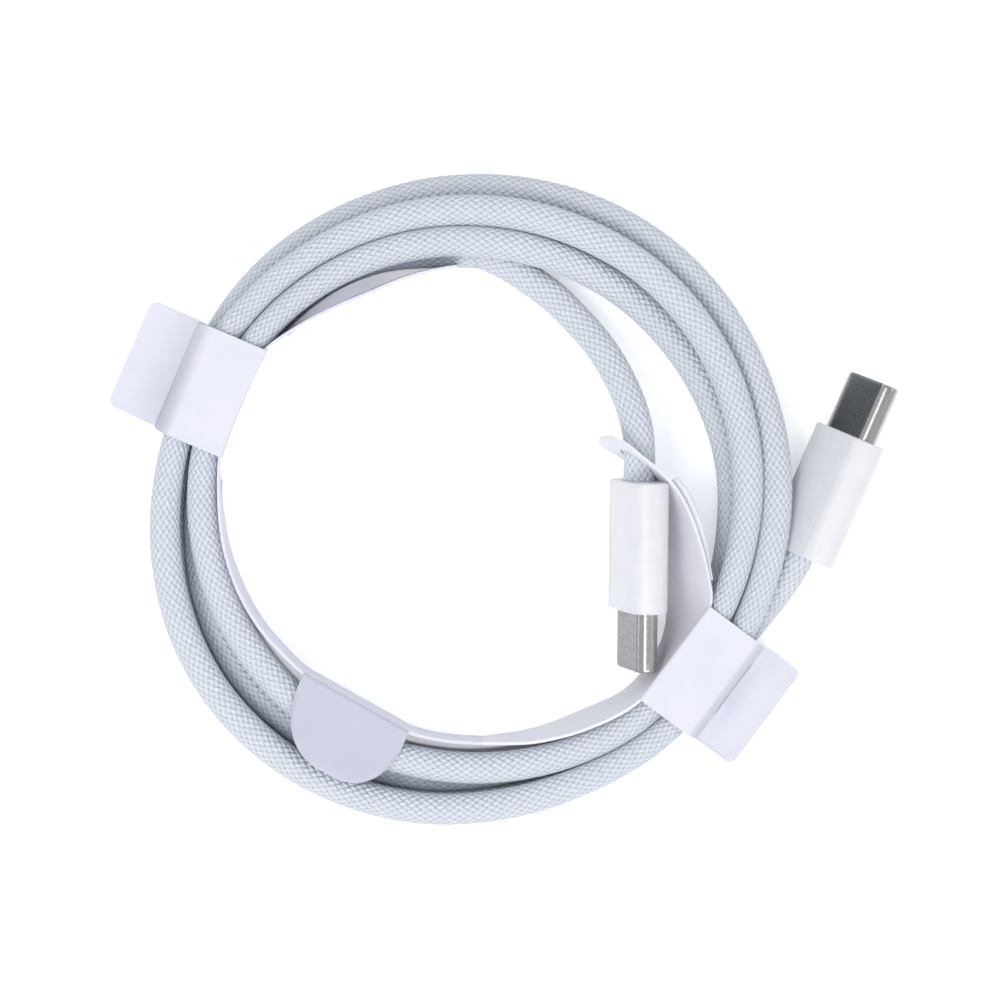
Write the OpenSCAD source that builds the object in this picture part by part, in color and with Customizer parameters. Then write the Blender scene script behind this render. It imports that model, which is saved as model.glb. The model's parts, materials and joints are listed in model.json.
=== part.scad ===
// Braided charging cable, coiled and held by a folded card wrap.
// Millimetres. The coil's axis stands at the origin, and the cable and its card rest on Z = 0.

/* [Cord] */
// Diameter of the braided cord
cord_d = 3.6; // [3.2:0.1:4]
// Radius of the coil's inner strands, at the middle of the cord
inner_lane_r = 31.5; // [30.5:0.25:34]
// Distance between the inner and the outer strands of the bundle
lane_pitch = 3.6; // [3.6:0.1:4.4]
// Height between the two layers of the bundle
layer_pitch = 4.1; // [4.1:0.1:4.8]
// Gap between the cord and the card under it
cord_rest_gap = 0.05; // [0.05:0.05:0.3]

/* [Plug housing] */
// How far the white housing stands out past each side of the steel shell
boot_side = 1.175; // [1:0.025:1.8]
// How far the white housing stands out above and below the steel shell
boot_over = 1.1; // [1:0.05:1.5]
// Length of the white housing
boot_len = 15.2; // [14.6:0.2:20]
// Wall of the white housing
boot_wall = 0.6; // [0.4:0.05:0.7]
// Chamfer round both ends of the housing
boot_edge = 0.2; // [0.1:0.05:0.35]
// Thickness of the housing's rear wall
rear_wall = 1.5; // [1:0.1:2]
// Thickness of the housing's front wall
front_wall = 0.8; // [0.5:0.1:1.2]
// Play round the cord in the housing's rear hole
cord_play = 0.15; // [0.1:0.05:0.25]
// Depth of the dark recess round the cord
collar_recess = 0.3; // [0.1:0.1:0.6]

/* [Plug nose] */
// Width of the steel shell
shell_w = 8.25; // [8.15:0.01:8.35]
// Thickness of the steel shell
shell_t = 2.4; // [2.35:0.01:2.45]
// How far the steel shell stands out of the housing
shell_out = 6.95; // [6.65:0.05:7.5]
// How far the steel shell reaches back behind the housing's front face
shell_in = 3.2; // [2.8:0.1:4]
// Sheet thickness of the steel shell
shell_wall = 0.25; // [0.15:0.05:0.3]
// Gap between the shell and the black contact block
liner_gap = 0.1; // [0.05:0.01:0.15]
// Width of the mouth in the contact block
mouth_w = 6.75; // [6.6:0.05:6.9]
// Height of the mouth in the contact block
mouth_h = 0.8; // [0.7:0.05:0.9]
// How far the contact block stays back from the shell's rim
liner_setback = 0.5; // [0.2:0.1:1]
// Contacts in each row
contact_count = 12; // [8:1:12]
// Distance between contacts
contact_pitch = 0.5; // [0.45:0.01:0.52]
// Width of one contact
contact_w = 0.25; // [0.2:0.01:0.3]
// Thickness of one contact
contact_t = 0.12; // [0.08:0.01:0.15]

/* [Plug inside] */
// Length of the circuit board
board_len = 5.5; // [4.6:0.1:6]
// Sheet thickness of the shield can
can_wall = 0.15; // [0.1:0.01:0.2]
// Play between the steel shell and the shield can
can_play = 0.05; // [0.02:0.01:0.1]
// How far the shield can grips the steel shell
can_grip = 0.6; // [0.3:0.1:1]
// Diameter of the cord's inner core
core_d = 2.2; // [2:0.1:2.4]
// Sheet thickness of the crimp ring
crimp_wall = 0.2; // [0.1:0.05:0.3]
// Diameter of each power wire
power_wire_d = 0.6; // [0.4:0.05:0.65]
// Diameter of each signal wire
signal_wire_d = 0.5; // [0.3:0.05:0.55]
// Height of the marker chip
chip_h = 0.6; // [0.4:0.05:0.8]

/* [Card wrap] */
// Thickness of the card
card_t = 0.35; // [0.25:0.05:0.4]
// Room between the top of the bundle and the card folded over it
card_room = 0.1; // [0.1:0.05:0.4]
// Width of each clasp along the bundle
clasp_len = 13.5; // [11:0.5:14]
// Width of the flange outside each clasp
flange_w = 5.8; // [4:0.2:8]
// Rounding of the flange's corners
flange_r = 0.7; // [0.3:0.1:1.5]
// Gap between the two layers of a flange
flange_gap = 0.1; // [0.05:0.05:0.3]
// Gap at the creases where a flap turns
crease_gap = 0.1; // [0.05:0.05:0.2]
// Width of the round tongue along its crease
tongue_w = 13.9; // [10:0.1:16]
// How far the round tongue reaches over the bundle
tongue_reach = 8.6; // [7.6:0.1:10]
// Room round the cord in the slot of the card's end
slot_room = 0.4; // [0.2:0.1:0.6]

/* [Poses of the plugs] */
// Lean of the outer plug's section from flat
plug_a_roll = 123; // [115:1:130]
// Lean of the inner plug's section from flat
plug_b_roll = 70; // [62:1:74]

/* [Hidden] */

round_fn = 48;
eps = 0.01;
braid_colour = [0.84, 0.87, 0.91];
card_colour = [0.93, 0.93, 0.97];
steel_colour = [0.62, 0.61, 0.60];
boot_colour = [0.95, 0.95, 0.97];

// ---------- Small helpers ----------

// Smooth hump of height 1 at c that ends w to each side
function hump(x, c, w) = abs(x - c) < w ? (1 + cos(180 * (x - c) / w)) / 2 : 0;

function unit(v) = v / norm(v);

function polar(r, a) = [r * cos(a), r * sin(a)];

// Sum of a list's numbers
function total(list, i = 0) = i < len(list) ? list[i] + total(list, i + 1) : 0;

// ---------- The coil's lanes ----------
// The cord winds clockwise, seen from above, from the outer plug to the inner one. A place on it
// is given in turns from the middle of the right clasp. The bundle is two strands wide and two
// high: the cord starts low outside, climbs above that strand, moves inward on top, and comes
// down below the inner strand.

first_angle = 322;
coil_turns = 3.625;
rings_per_turn = 24;
low_z = card_t + cord_rest_gap + cord_d / 2;
top_z = low_z + layer_pitch;
outer_lane_r = inner_lane_r + lane_pitch + 0.4;

// Places that the cord passes: turn, then how many lanes outside the inner one and how many
// layers above the lower one
lane_places = [
    [0, 1.028, 0], [0.031, 1.014, 0], [0.061, 1, 0], [0.089, 1.056, 0], [0.117, 1.139, 0],
    [0.144, 1.278, 0], [0.172, 1.417, 0], [0.2, 1.528, 0], [0.228, 1.611, 0], [0.256, 1.681, 0],
    [0.283, 1.694, 0], [0.311, 1.611, 0], [0.339, 1.472, 0], [0.367, 1.278, 0], [0.394, 1.083, 0],
    [0.422, 0.944, 0], [0.458, 0.944, 0], [0.492, 1.222, 0], [0.533, 1.347, 0], [0.589, 1.367, 0],
    [0.644, 1.442, 0], [0.7, 1.55, 0], [0.728, 1.592, 0], [0.756, 1.578, 0], [0.783, 1.536, 0],
    [0.811, 1.45, 0.15], [0.839, 1.333, 0.49], [0.867, 1.256, 0.78], [0.894, 1.228, 1.02],
    [0.922, 1.131, 1.21], [0.95, 1.083, 1.06], [0.978, 1.014, 1], [1, 0.972, 1],
    [1.031, 1.097, 1], [1.061, 1.033, 1], [1.089, 1.042, 1], [1.117, 1.111, 1], [1.144, 1.244, 1],
    [1.172, 1.383, 1], [1.2, 1.472, 1], [1.228, 1.542, 1], [1.256, 1.583, 1], [1.283, 1.592, 1],
    [1.311, 1.522, 1], [1.339, 1.411, 1], [1.367, 1.244, 1], [1.394, 1.097, 1], [1.422, 0.961, 1],
    [1.458, 0.833, 1], [1.492, 0.778, 1], [1.533, 0.728, 1], [1.589, 0.672, 1], [1.644, 0.65, 1],
    [1.7, 0.639, 1], [1.756, 0.639, 1], [1.783, 0.583, 1], [1.811, 0.5, 1.01],
    [1.839, 0.431, 1.05], [1.867, 0.319, 1.15], [1.894, 0.236, 1.2], [1.922, 0.172, 1.16],
    [1.95, 0.153, 1.03], [1.978, 0.125, 1], [2, 0.069, 1], [2.031, 0.256, 1], [2.061, 0.117, 1],
    [2.089, 0.042, 1], [2.117, -0.028, 1], [2.144, -0.083, 1], [2.2, -0.111, 1],
    [2.256, -0.139, 1], [2.283, -0.153, 1], [2.311, -0.139, 1], [2.339, -0.125, 1],
    [2.367, -0.097, 1], [2.394, -0.069, 1], [2.422, -0.036, 1], [2.458, -0.042, 1],
    [2.492, -0.083, 1], [2.533, -0.144, 1], [2.589, -0.269, 1], [2.617, -0.317, 1],
    [2.644, -0.356, 0.98], [2.672, -0.378, 0.85], [2.7, -0.356, 0.59], [2.728, -0.311, 0.34],
    [2.756, -0.294, 0.17], [2.783, -0.283, 0.07], [2.811, -0.25, 0.01], [2.839, -0.178, 0],
    [2.867, -0.111, 0], [2.894, -0.119, 0], [2.922, -0.139, 0], [2.95, -0.083, 0], [2.978, 0, 0],
    [3, 0.042, 0], [3.031, 0.083, 0], [3.061, 0.056, 0], [3.089, 0.028, 0], [3.117, 0.111, 0],
    [3.144, 0.25, 0], [3.172, 0.389, 0], [3.2, 0.5, 0], [3.228, 0.583, 0], [3.256, 0.628, 0],
    [3.283, 0.661, 0], [3.311, 0.583, 0], [3.339, 0.444, 0], [3.367, 0.25, 0], [3.394, 0.111, 0],
    [3.422, 0.014, 0], [3.458, 0, 0], [3.492, -0.028, 0], [3.533, -0.111, 0], [3.561, -0.167, 0],
    [3.589, -0.25, 0], [3.625, -0.444, 0]
];
lane_out = [for (p = lane_places) [p[0], p[1]]];
lane_up = [for (p = lane_places) [p[0], p[2]]];

// Value of a table at turn t, rounded where its stretches meet
round_reach = 0.012;
round_shares = [1, 2, 3, 2, 1] / 9;
function rounded(table, t) =
    total([for (i = [0 : 4]) round_shares[i] * lookup(t + (i - 2) * round_reach, table)]);

// The clasps press the strands narrower near them: angle, half width
clasp_presses = [[142, 60], [322, 50]];
clasp_squeeze = 0.17;

function lane_angle(t) = first_angle - 360 * t;

// Smallest angle between a and b
function turn_between(a, b) = let (d = abs(a - b) % 360) min(d, 360 - d);

function lane_r(t) = inner_lane_r + lane_pitch * rounded(lane_out, t);
function lane_z(t) = low_z + layer_pitch * rounded(lane_up, t);

// Width of the cord at turn t, as a share of its free width
function width_share(t) = 1 - clasp_squeeze
    * max([for (p = clasp_presses) hump(turn_between(lane_angle(t), p[0]), 0, p[1])]);

function coil_point(t) =
    let (p = polar(lane_r(t), lane_angle(t))) [p[0], p[1], lane_z(t)];

// Direction of travel along the coil at a turn
function coil_way(t) = unit(coil_point(t + 0.002) - coil_point(t - 0.002));

coil_rings = round(coil_turns * rings_per_turn);
wound = [for (i = [0 : coil_rings]) coil_point(i / rings_per_turn)];
coil_start = wound[0] - cord_d * coil_way(0);
coil_finish = wound[coil_rings] + cord_d * coil_way(coil_turns);
coil_path = concat([coil_start], wound, [coil_finish]);
coil_widths = concat(
    [width_share(0)],
    [for (i = [0 : coil_rings]) width_share(i / rings_per_turn)],
    [width_share(coil_turns)]
);

// ---------- Directions across the card ----------

// The clasps and the round tongue stand across the bundle: direction outward
left_clasp_a = 157;
right_clasp_a = 323.3;
tongue_a = 240.8;
right_crease_r = inner_lane_r - 1.7;

// A point at a distance from the coil's axis in the direction a, and to the side of it
function clasp_point(a, r, along) = polar(r, a) + along * [-sin(a), cos(a)];

// ---------- Outer section of the housings ----------

boot_w = shell_w + 2 * boot_side;
boot_t = shell_t + 2 * boot_over;

// ---------- Poses of the plugs ----------
// A plug's own frame has X along its axis towards the tip, Y across its width and Z through its
// thickness, with the origin at the middle of the housing's rear face.

plug_a_xy = polar(outer_lane_r + 3.6, -9.4);
plug_a_yaw = 67;
plug_a_dip = -4;
plug_b_xy = clasp_point(right_clasp_a, right_crease_r - 15.3, 13.6);
plug_b_yaw = -90.5;
plug_b_dip = 4.3;
floor_gap = 0.03;

// Half the height of a leaning housing
function lean_h(roll) = (boot_w - boot_t) / 2 * sin(roll) + boot_t / 2;

plug_a_z = lean_h(plug_a_roll) * cos(plug_a_dip) + floor_gap;
plug_b_z = lean_h(plug_b_roll) * cos(plug_b_dip) + boot_len * sin(plug_b_dip) + floor_gap;
plug_a_at = [plug_a_xy[0], plug_a_xy[1], plug_a_z];
plug_b_at = [plug_b_xy[0], plug_b_xy[1], plug_b_z];

function plug_way(yaw, dip) = [cos(dip) * cos(yaw), cos(dip) * sin(yaw), -sin(dip)];

way_a = plug_way(plug_a_yaw, plug_a_dip);
way_b = plug_way(plug_b_yaw, plug_b_dip);

// ---------- Free stretches of the cord ----------
// Each list is the middle of the cord between the coil and a plug. The first and last stretches
// are straight, square to what they meet.

outer_tail_mid = [
    [36.2, -11.4, 3.1],
    [34.7, -14.1, 2.3]
];
outer_tail_path = concat(
    [plug_a_at + collar_recess * way_a, plug_a_at - cord_d * way_a],
    outer_tail_mid,
    [coil_start - 0.6 * cord_d * coil_way(0), coil_start]
);
outer_tail_widths = [1, 1, 1, 0.94, width_share(0), width_share(0)];

inner_tail_mid = [
    [4.4, 27.75, 2.2],
    [7.1, 26.0, 2.25],
    [9.9, 23.9, 2.55],
    [12.4, 21.4, 3.1],
    [14.6, 18.9, 3.8],
    [16.2, 16.6, 4.5],
    [17.6, 14.0, 5.2],
    [18.7, 11.4, 5.8],
    [19.5, 8.6, 6.3]
];
inner_tail_path = concat(
    [coil_finish, coil_finish + 0.6 * cord_d * coil_way(coil_turns)],
    inner_tail_mid,
    [plug_b_at - cord_d * way_b, plug_b_at + collar_recess * way_b]
);
inner_tail_widths = [for (i = [0 : len(inner_tail_path) - 1]) i < 2 ? width_share(coil_turns) : 1];

// ---------- Sweeping a tube ----------

function side_of(way) = unit(cross([0, 0, 1], way));

// Direction of the path at point i
function way_at(path, i) =
    i == 0 ? unit(path[1] - path[0])
    : i == len(path) - 1 ? unit(path[i] - path[i - 1])
    : unit(unit(path[i + 1] - path[i]) + unit(path[i] - path[i - 1]));

// One ring of the tube, with its flat sides facing sideways and its width times share
function ring(path, i, d, sides, share) =
    let (way = way_at(path, i), side = share * side_of(way), up = cross(way, side_of(way)))
    [for (k = [0 : sides - 1])
        let (a = 180 / sides + 360 * k / sides)
        path[i] + d / 2 * (cos(a) * side + sin(a) * up)];

module tube(path, d, sides, widths) {
    rings = len(path);
    points = [for (i = [0 : rings - 1]) each ring(path, i, d, sides, widths[i])];
    skin = [for (i = [0 : rings - 2]) for (k = [0 : sides - 1])
        let (a = i * sides + k, b = i * sides + (k + 1) % sides)
        each [[a, b + sides, b], [a, a + sides, b + sides]]];
    near_cap = [for (k = [1 : sides - 2]) [0, k, k + 1]];
    far = (rings - 1) * sides;
    far_cap = [for (k = [1 : sides - 2]) [far, far + k + 1, far + k]];
    polyhedron(points = points, faces = concat(skin, near_cap, far_cap));
}

// ---------- The coil's least gap to itself ----------
// Strands are compared where they cross the same half plane through the coil's axis.

function cut_ring(t) = [for (k = [0 : 5]) [
    lane_r(t) + width_share(t) * cord_d / 2 * cos(30 + 60 * k),
    lane_z(t) + cord_d / 2 * sin(30 + 60 * k)]];

function to_edge(p, a, b) =
    let (s = min(max((p - a) * (b - a) / ((b - a) * (b - a)), 0), 1)) norm(p - a - s * (b - a));

function ring_gap(p, q) = min([for (i = [0 : 5]) for (k = [0 : 5])
    min(to_edge(p[i], q[k], q[(k + 1) % 6]), to_edge(q[i], p[k], p[(k + 1) % 6]))]);

self_gap = min([for (i = [0 : coil_rings]) for (j = [i + rings_per_turn : rings_per_turn : coil_rings])
    ring_gap(cut_ring(i / rings_per_turn), cut_ring(j / rings_per_turn))]);

// Length along a path
function path_len(path) = total([for (i = [1 : len(path) - 1]) norm(path[i] - path[i - 1])]);

echo(coil_least_gap_mm = self_gap);
echo(cord_length_mm = path_len(outer_tail_path) + path_len(coil_path) + path_len(inner_tail_path));

module outer_tail() { color(braid_colour) tube(outer_tail_path, cord_d, 8, outer_tail_widths); }
module coil() { color(braid_colour) tube(coil_path, cord_d, 6, coil_widths); }
module inner_tail() {
    color(braid_colour) tube(inner_tail_path, cord_d, 8, inner_tail_widths);
}

// ---------- Plug pieces, in the plug's own frame ----------

cavity_w = boot_w - 2 * boot_wall;
cavity_t = boot_t - 2 * boot_wall;
front_x = boot_len - front_wall;
shell_x = boot_len - shell_in;
tip_x = boot_len + shell_out;
collar_d = cord_d + 2 * cord_play;
can_in_w = shell_w + 2 * can_play;
can_in_t = shell_t + 2 * can_play;
can_w = can_in_w + 2 * can_wall;
can_t = can_in_t + 2 * can_wall;
can_front_x = shell_x + can_grip;
crimp_d = core_d + 2 * crimp_wall;
liner_x = tip_x - liner_setback;
liner_w = shell_w - 2 * shell_wall - 2 * liner_gap;
liner_t = shell_t - 2 * shell_wall - 2 * liner_gap;
flange_len = 1.2;
contact_setback = 1;
contact_tail = 1.2;
contact_z = mouth_h / 2 - contact_t;
board_t = 2 * contact_z;
board_front_x = shell_x - 1;
board_x = board_front_x - board_len;
can_x = board_x - 1.3;
board_w = can_in_w - can_in_t + 2 * sqrt(pow(can_in_t / 2, 2) - pow(board_t / 2, 2)) - 0.02;

// A stadium section of a width and a thickness, extruded from x0 to x1
module stadium(w, t, x0, x1) {
    translate([x0, 0, 0]) rotate([90, 0, 90]) linear_extrude(x1 - x0) union() {
        square([w - t, t], center = true);
        for (s = [-1, 1]) translate([s * (w - t) / 2, 0]) circle(d = t, $fn = round_fn);
    }
}

// A box between two corners
module block(a, b) {
    translate(a) cube([b[0] - a[0], b[1] - a[1], b[2] - a[2]]);
}

// A round bar along X
module bar(d, x0, x1, y = 0, z = 0) {
    translate([x0, y, z]) rotate([0, 90, 0]) cylinder(d = d, h = x1 - x0, $fn = round_fn);
}

module boot_body() {
    difference() {
        hull() {
            stadium(boot_w, boot_t, boot_edge, boot_len - boot_edge);
            stadium(boot_w - 2 * boot_edge, boot_t - 2 * boot_edge, 0, boot_len);
        }
        stadium(cavity_w, cavity_t, rear_wall, front_x);
        stadium(shell_w + 2 * can_play, shell_t + 2 * can_play, front_x - eps, boot_len + eps);
        bar(collar_d, -eps, rear_wall + eps);
    }
}

module shell_body() {
    difference() {
        stadium(shell_w, shell_t, shell_x, tip_x);
        stadium(shell_w - 2 * shell_wall, shell_t - 2 * shell_wall, shell_x - eps, tip_x + eps);
    }
}

module contact_block_body() {
    difference() {
        union() {
            stadium(liner_w, liner_t, shell_x, liner_x);
            stadium(liner_w + 2 * liner_gap, liner_t + 2 * liner_gap, shell_x, shell_x + flange_len);
        }
        block([shell_x - eps, -mouth_w / 2, -mouth_h / 2], [liner_x + eps, mouth_w / 2, mouth_h / 2]);
    }
}

// A row of contacts: up is 1 for the upper row and -1 for the lower one
module contact_row(up) {
    first_y = -(contact_count - 1) / 2 * contact_pitch;
    for (i = [0 : contact_count - 1])
        translate([0, first_y + i * contact_pitch, up > 0 ? contact_z : -mouth_h / 2])
            translate([board_front_x - contact_tail, -contact_w / 2, 0])
                cube([liner_x - contact_setback - board_front_x + contact_tail, contact_w, contact_t]);
}

module latch_plate_body() {
    plate_h = 0.2;
    arm_w = 0.22;
    plate_end = shell_x + 1.6;
    arm_end = liner_x - 1.5;
    block([board_front_x, -mouth_w / 2, -plate_h / 2], [plate_end, mouth_w / 2, plate_h / 2]);
    for (s = [-1, 1])
        translate([plate_end - eps, s * (mouth_w - arm_w) / 2 - arm_w / 2, -plate_h / 2])
            cube([arm_end - plate_end, arm_w, plate_h]);
}

module ground_springs_body() {
    spring_w = 5;
    spring_len = 3;
    spring_end = liner_x - 2.65;
    for (s = [-1, 1])
        translate([spring_end - spring_len, -spring_w / 2, s * (liner_t + liner_gap) / 2 - liner_gap / 2])
            cube([spring_len, spring_w, liner_gap]);
}

module board_body() {
    block([board_x, -board_w / 2, -board_t / 2], [board_front_x, board_w / 2, board_t / 2]);
}

// Small parts on the circuit board: place, size across, height
module board_parts_body() {
    part_l = 0.6;
    part_w = 0.35;
    part_h = 0.35;
    for (x = [1.6, 2.8]) for (y = [-3, 3])
        translate([board_x + x, y - part_w / 2, board_t / 2]) cube([part_l, part_w, part_h]);
    for (y = [-2.2, 0, 2.2])
        translate([board_x + 2.2, y - part_w / 2, -board_t / 2 - part_h])
            cube([part_l, part_w, part_h]);
}

module marker_chip_body() {
    chip_w = 2;
    translate([board_x + 1.9, -chip_w / 2, board_t / 2]) cube([chip_w, chip_w, chip_h]);
}

// Half of the shield can: up is 1 for the top half and -1 for the bottom one
module can_half(up) {
    intersection() {
        difference() {
            stadium(can_w, can_t, can_x, can_front_x);
            stadium(can_in_w, can_in_t, can_x - eps, can_front_x + eps);
        }
        translate([can_x - 1, -boot_w, up > 0 ? 0 : -boot_t])
            cube([can_front_x - can_x + 2, 2 * boot_w, boot_t]);
    }
}

module inner_mould_body() {
    difference() {
        stadium(cavity_w, cavity_t, rear_wall, can_front_x);
        stadium(can_w, can_t, can_x, can_front_x + eps);
        bar(crimp_d, rear_wall - eps, can_x + eps);
    }
}

module shell_seat_body() {
    difference() {
        stadium(cavity_w, cavity_t, can_front_x, front_x);
        stadium(shell_w, shell_t, can_front_x - eps, front_x + eps);
    }
}

module crimp_ring_body() {
    difference() {
        bar(crimp_d, rear_wall, can_x);
        bar(core_d, rear_wall - eps, can_x + eps);
    }
}

// Two power wires lie on the board and two signal wires under it
module wires_body() {
    wire_end = board_x + 1.2;
    for (s = [-1, 1]) {
        bar(power_wire_d, collar_recess, wire_end, s * 0.75 * power_wire_d,
            board_t / 2 + power_wire_d / 2);
        bar(signal_wire_d, collar_recess, wire_end, s * 0.8 * signal_wire_d,
            -board_t / 2 - signal_wire_d / 2);
    }
}

module rear_collar_body() {
    difference() {
        bar(collar_d, collar_recess, rear_wall);
        bar(core_d, collar_recess - eps, rear_wall + eps);
    }
}

// Places a piece of the outer or the inner plug
module in_outer_plug() {
    translate(plug_a_at) rotate([plug_a_roll, plug_a_dip, plug_a_yaw]) children();
}

module in_inner_plug() {
    translate(plug_b_at) rotate([plug_b_roll, plug_b_dip, plug_b_yaw]) children();
}

// ---------- The card wrap ----------

wrap_h = top_z + cord_d / 2 + card_room;

// Distances from the coil's axis across the clasps and the tongue: crease and shoulder
left_crease_r = inner_lane_r - 3.1;
left_shoulder_r = inner_lane_r + lane_pitch + 1.0;
right_shoulder_r = left_shoulder_r + 0.6;
tongue_crease_r = inner_lane_r - 4.5;
// Run of a cover wing's slope, and how much longer the left flange is than the right one
slope_run = 2.2;
left_flange_w = flange_w;
right_flange_w = flange_w - 1;

// Points at given angles, and at distances inside the middle of the inner strands
function inset_points(places) = [for (p = places) polar(inner_lane_r - p[1], p[0])];

// Both ends of a crease of width w across the direction a
function crease_ends(a, r, w) = [clasp_point(a, r, -w / 2), clasp_point(a, r, w / 2)];

// Middle line of the standing strip, in the order that it runs round the coil
strip_start = inset_points([
    [93, 4.35], [100, 4.55], [107, 4.7], [115, 4.8], [124, 4.3], [134, 3.3]
]);
strip_points = concat(
    strip_start,
    crease_ends(left_clasp_a, left_crease_r, clasp_len),
    inset_points([[180, 2.4], [190, 2.45], [200, 2.6], [210, 2.9], [219, 3.35]]),
    crease_ends(tongue_a, tongue_crease_r, tongue_w),
    inset_points([[264, 3.4], [273, 3.2]])
);

// Direction across a flat line at point i
function across(line, i) =
    let (a = line[max(i - 1, 0)], b = line[min(i + 1, len(line) - 1)], d = unit(b - a))
    [d[1], -d[0]];

// A flat line moved sideways to one face of the card: s is 1 outside and -1 inside
function face_line(line, s) =
    [for (i = [0 : len(line) - 1]) line[i] + s * card_t / 2 * across(line, i)];

function reversed(list) = [for (i = [len(list) - 1 : -1 : 0]) list[i]];

module card_strip() {
    color(card_colour) linear_extrude(wrap_h)
        polygon(concat(face_line(strip_points, 1), reversed(face_line(strip_points, -1))));
}

// The card's leaning end, from the strip past the right clasp to its round tip. Each row has a
// point of its lower edge and one of its upper edge: x, y, z.

// Rows between the strip and the clasp: angle, distance inside the inner strands below and above
end_start = strip_points[len(strip_points) - 1];
end_across = across(strip_points, len(strip_points) - 1);
rows_before = [[285.1, 3.2, 2.4], [297.8, 3.1, 1.6]];

// Rows at the clasp: distance inside the crease and place along it below, and place along it above
rows_at = [
    [1.4, -clasp_len / 2, -clasp_len / 2],
    [1.4, 0, 0],
    [4.0, clasp_len / 2 - 2, clasp_len / 2]
];

// Rows after the clasp: distance inside the crease, place along it and height of the lower edge,
// then the same of the upper edge, with its height over the wrap
rows_after = [
    [7.3, 7.9, 0, 2.7, 9.8, 0.5],
    [9.6, 10.8, 0, 5.5, 12.4, 0.9],
    [11.8, 13.1, 0.4, 8.7, 14.6, 1.4],
    [13.6, 14.3, 1.0, 11.5, 15.9, 1.8],
    [15.4, 14.8, 1.6, 14.5, 16.3, 2.1],
    [17.3, 14.8, 2.2, 17.2, 16.2, 2.3],
    [18.9, 14.7, 2.8, 19.2, 16.0, 2.2],
    [20.2, 14.5, 3.4, 20.7, 15.7, 1.7],
    [21.1, 14.4, 4.4, 21.5, 15.3, 0.7],
    [21.8, 14.5, 5.8, 22.0, 14.8, -0.6]
];

function edge_row(low, low_z, high, high_z) =
    [[low[0], low[1], low_z], [high[0], high[1], high_z]];

function inside_crease(in, along) = clasp_point(right_clasp_a, right_crease_r - in, along);

end_rows = concat(
    [edge_row(end_start, 0, end_start, wrap_h)],
    [for (r = rows_before)
        edge_row(polar(inner_lane_r - r[1], r[0]), 0, polar(inner_lane_r - r[2], r[0]), wrap_h)],
    [for (r = rows_at) edge_row(inside_crease(r[0], r[1]), 0, inside_crease(0, r[2]), wrap_h)],
    [for (r = rows_after)
        edge_row(inside_crease(r[0], r[1]), r[2], inside_crease(r[3], r[4]), wrap_h + r[5])]
);
clasp_rows = [len(rows_before) + 1 : len(rows_before) + len(rows_at)];

// The two points of row i, moved to one face of the card: s is 1 outside and -1 inside
function lean_row(i, s) = [for (k = [0, 1])
    let (side = i == 0 ? end_across : across([for (r = end_rows) [r[k][0], r[k][1]]], i))
    end_rows[i][k] + s * card_t / 2 * [side[0], side[1], 0]];

module leaning_card() {
    rows = len(end_rows);
    corners = 4;
    points = [for (i = [0 : rows - 1])
        let (out = lean_row(i, 1), in = lean_row(i, -1)) each [in[0], out[0], out[1], in[1]]];
    skin = [for (i = [0 : rows - 2]) for (k = [0 : corners - 1])
        let (a = corners * i + k, b = corners * i + (k + 1) % corners)
        each [[a, b, b + corners], [a, b + corners, a + corners]]];
    near_cap = [[0, 2, 1], [0, 3, 2]];
    far = corners * (rows - 1);
    far_cap = [[far, far + 1, far + 2], [far, far + 2, far + 3]];
    polyhedron(points = points, faces = concat(skin, near_cap, far_cap));
}

// The slot lies behind the inner plug, round the cord
slot_back = 3.2;
slot_depth = cord_d + 1.4;
slot_at = plug_b_at - slot_back * way_b;

module card_end() {
    color(card_colour) difference() {
        leaning_card();
        translate(slot_at) rotate([0, 90 + plug_b_dip, plug_b_yaw])
            cylinder(d = cord_d + 2 * slot_room, h = slot_depth, center = true, $fn = round_fn);
    }
}

// Outer end of a flange with its rounded corners, in the clasp's frame: X outward from the coil's
// axis, Y along the bundle
function flange_end(x1) = [for (c = [[-1, -90], [1, 0]]) for (k = [0 : 15 : 90])
    [x1 - flange_r, c[0] * (clasp_len / 2 - flange_r)] + polar(flange_r, c[1] + k)];

function flange_points(a, x1) = [for (p = flange_end(x1)) clasp_point(a, p[0], p[1])];

// The narrow foot that runs on from the left clasp's floor wing, along the strip's outer face:
// its width where it starts, and its free edge and cut end, as angle and distance inside the
// inner strands
foot_w = 2.5;
foot_edge = inset_points([[115.7, 3.9], [115.8, 2.6], [135.9, 1.5]]);

module left_floor_wing() {
    inner_x = left_crease_r + card_t / 2;
    outer_x = left_shoulder_r + slope_run + left_flange_w;
    beside_strip = [for (i = [len(strip_start) + 1 : -1 : 3]) face_line(strip_points, 1)[i]];
    color(card_colour) linear_extrude(card_t) polygon(concat(
        beside_strip,
        foot_edge,
        [clasp_point(left_clasp_a, inner_x + foot_w, -clasp_len / 2)],
        flange_points(left_clasp_a, outer_x)
    ));
}

// Where the leaning card's outer face stands level with the top of the floor wing, at row i
foot_play = 0.17;

function foot_point(i) =
    let (r = lean_row(i, 1), p = r[0] + (r[1] - r[0]) * card_t / r[1][2])
    [p[0], p[1]] + polar(foot_play, right_clasp_a);

module right_floor_wing() {
    inner_x = right_crease_r + 0.9;
    outer_x = right_shoulder_r + slope_run + right_flange_w;
    color(card_colour) linear_extrude(card_t) polygon(concat(
        [clasp_point(right_clasp_a, inner_x, clasp_len / 2)],
        reversed([for (i = clasp_rows) foot_point(i)]),
        flange_points(right_clasp_a, outer_x)
    ));
}

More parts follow.
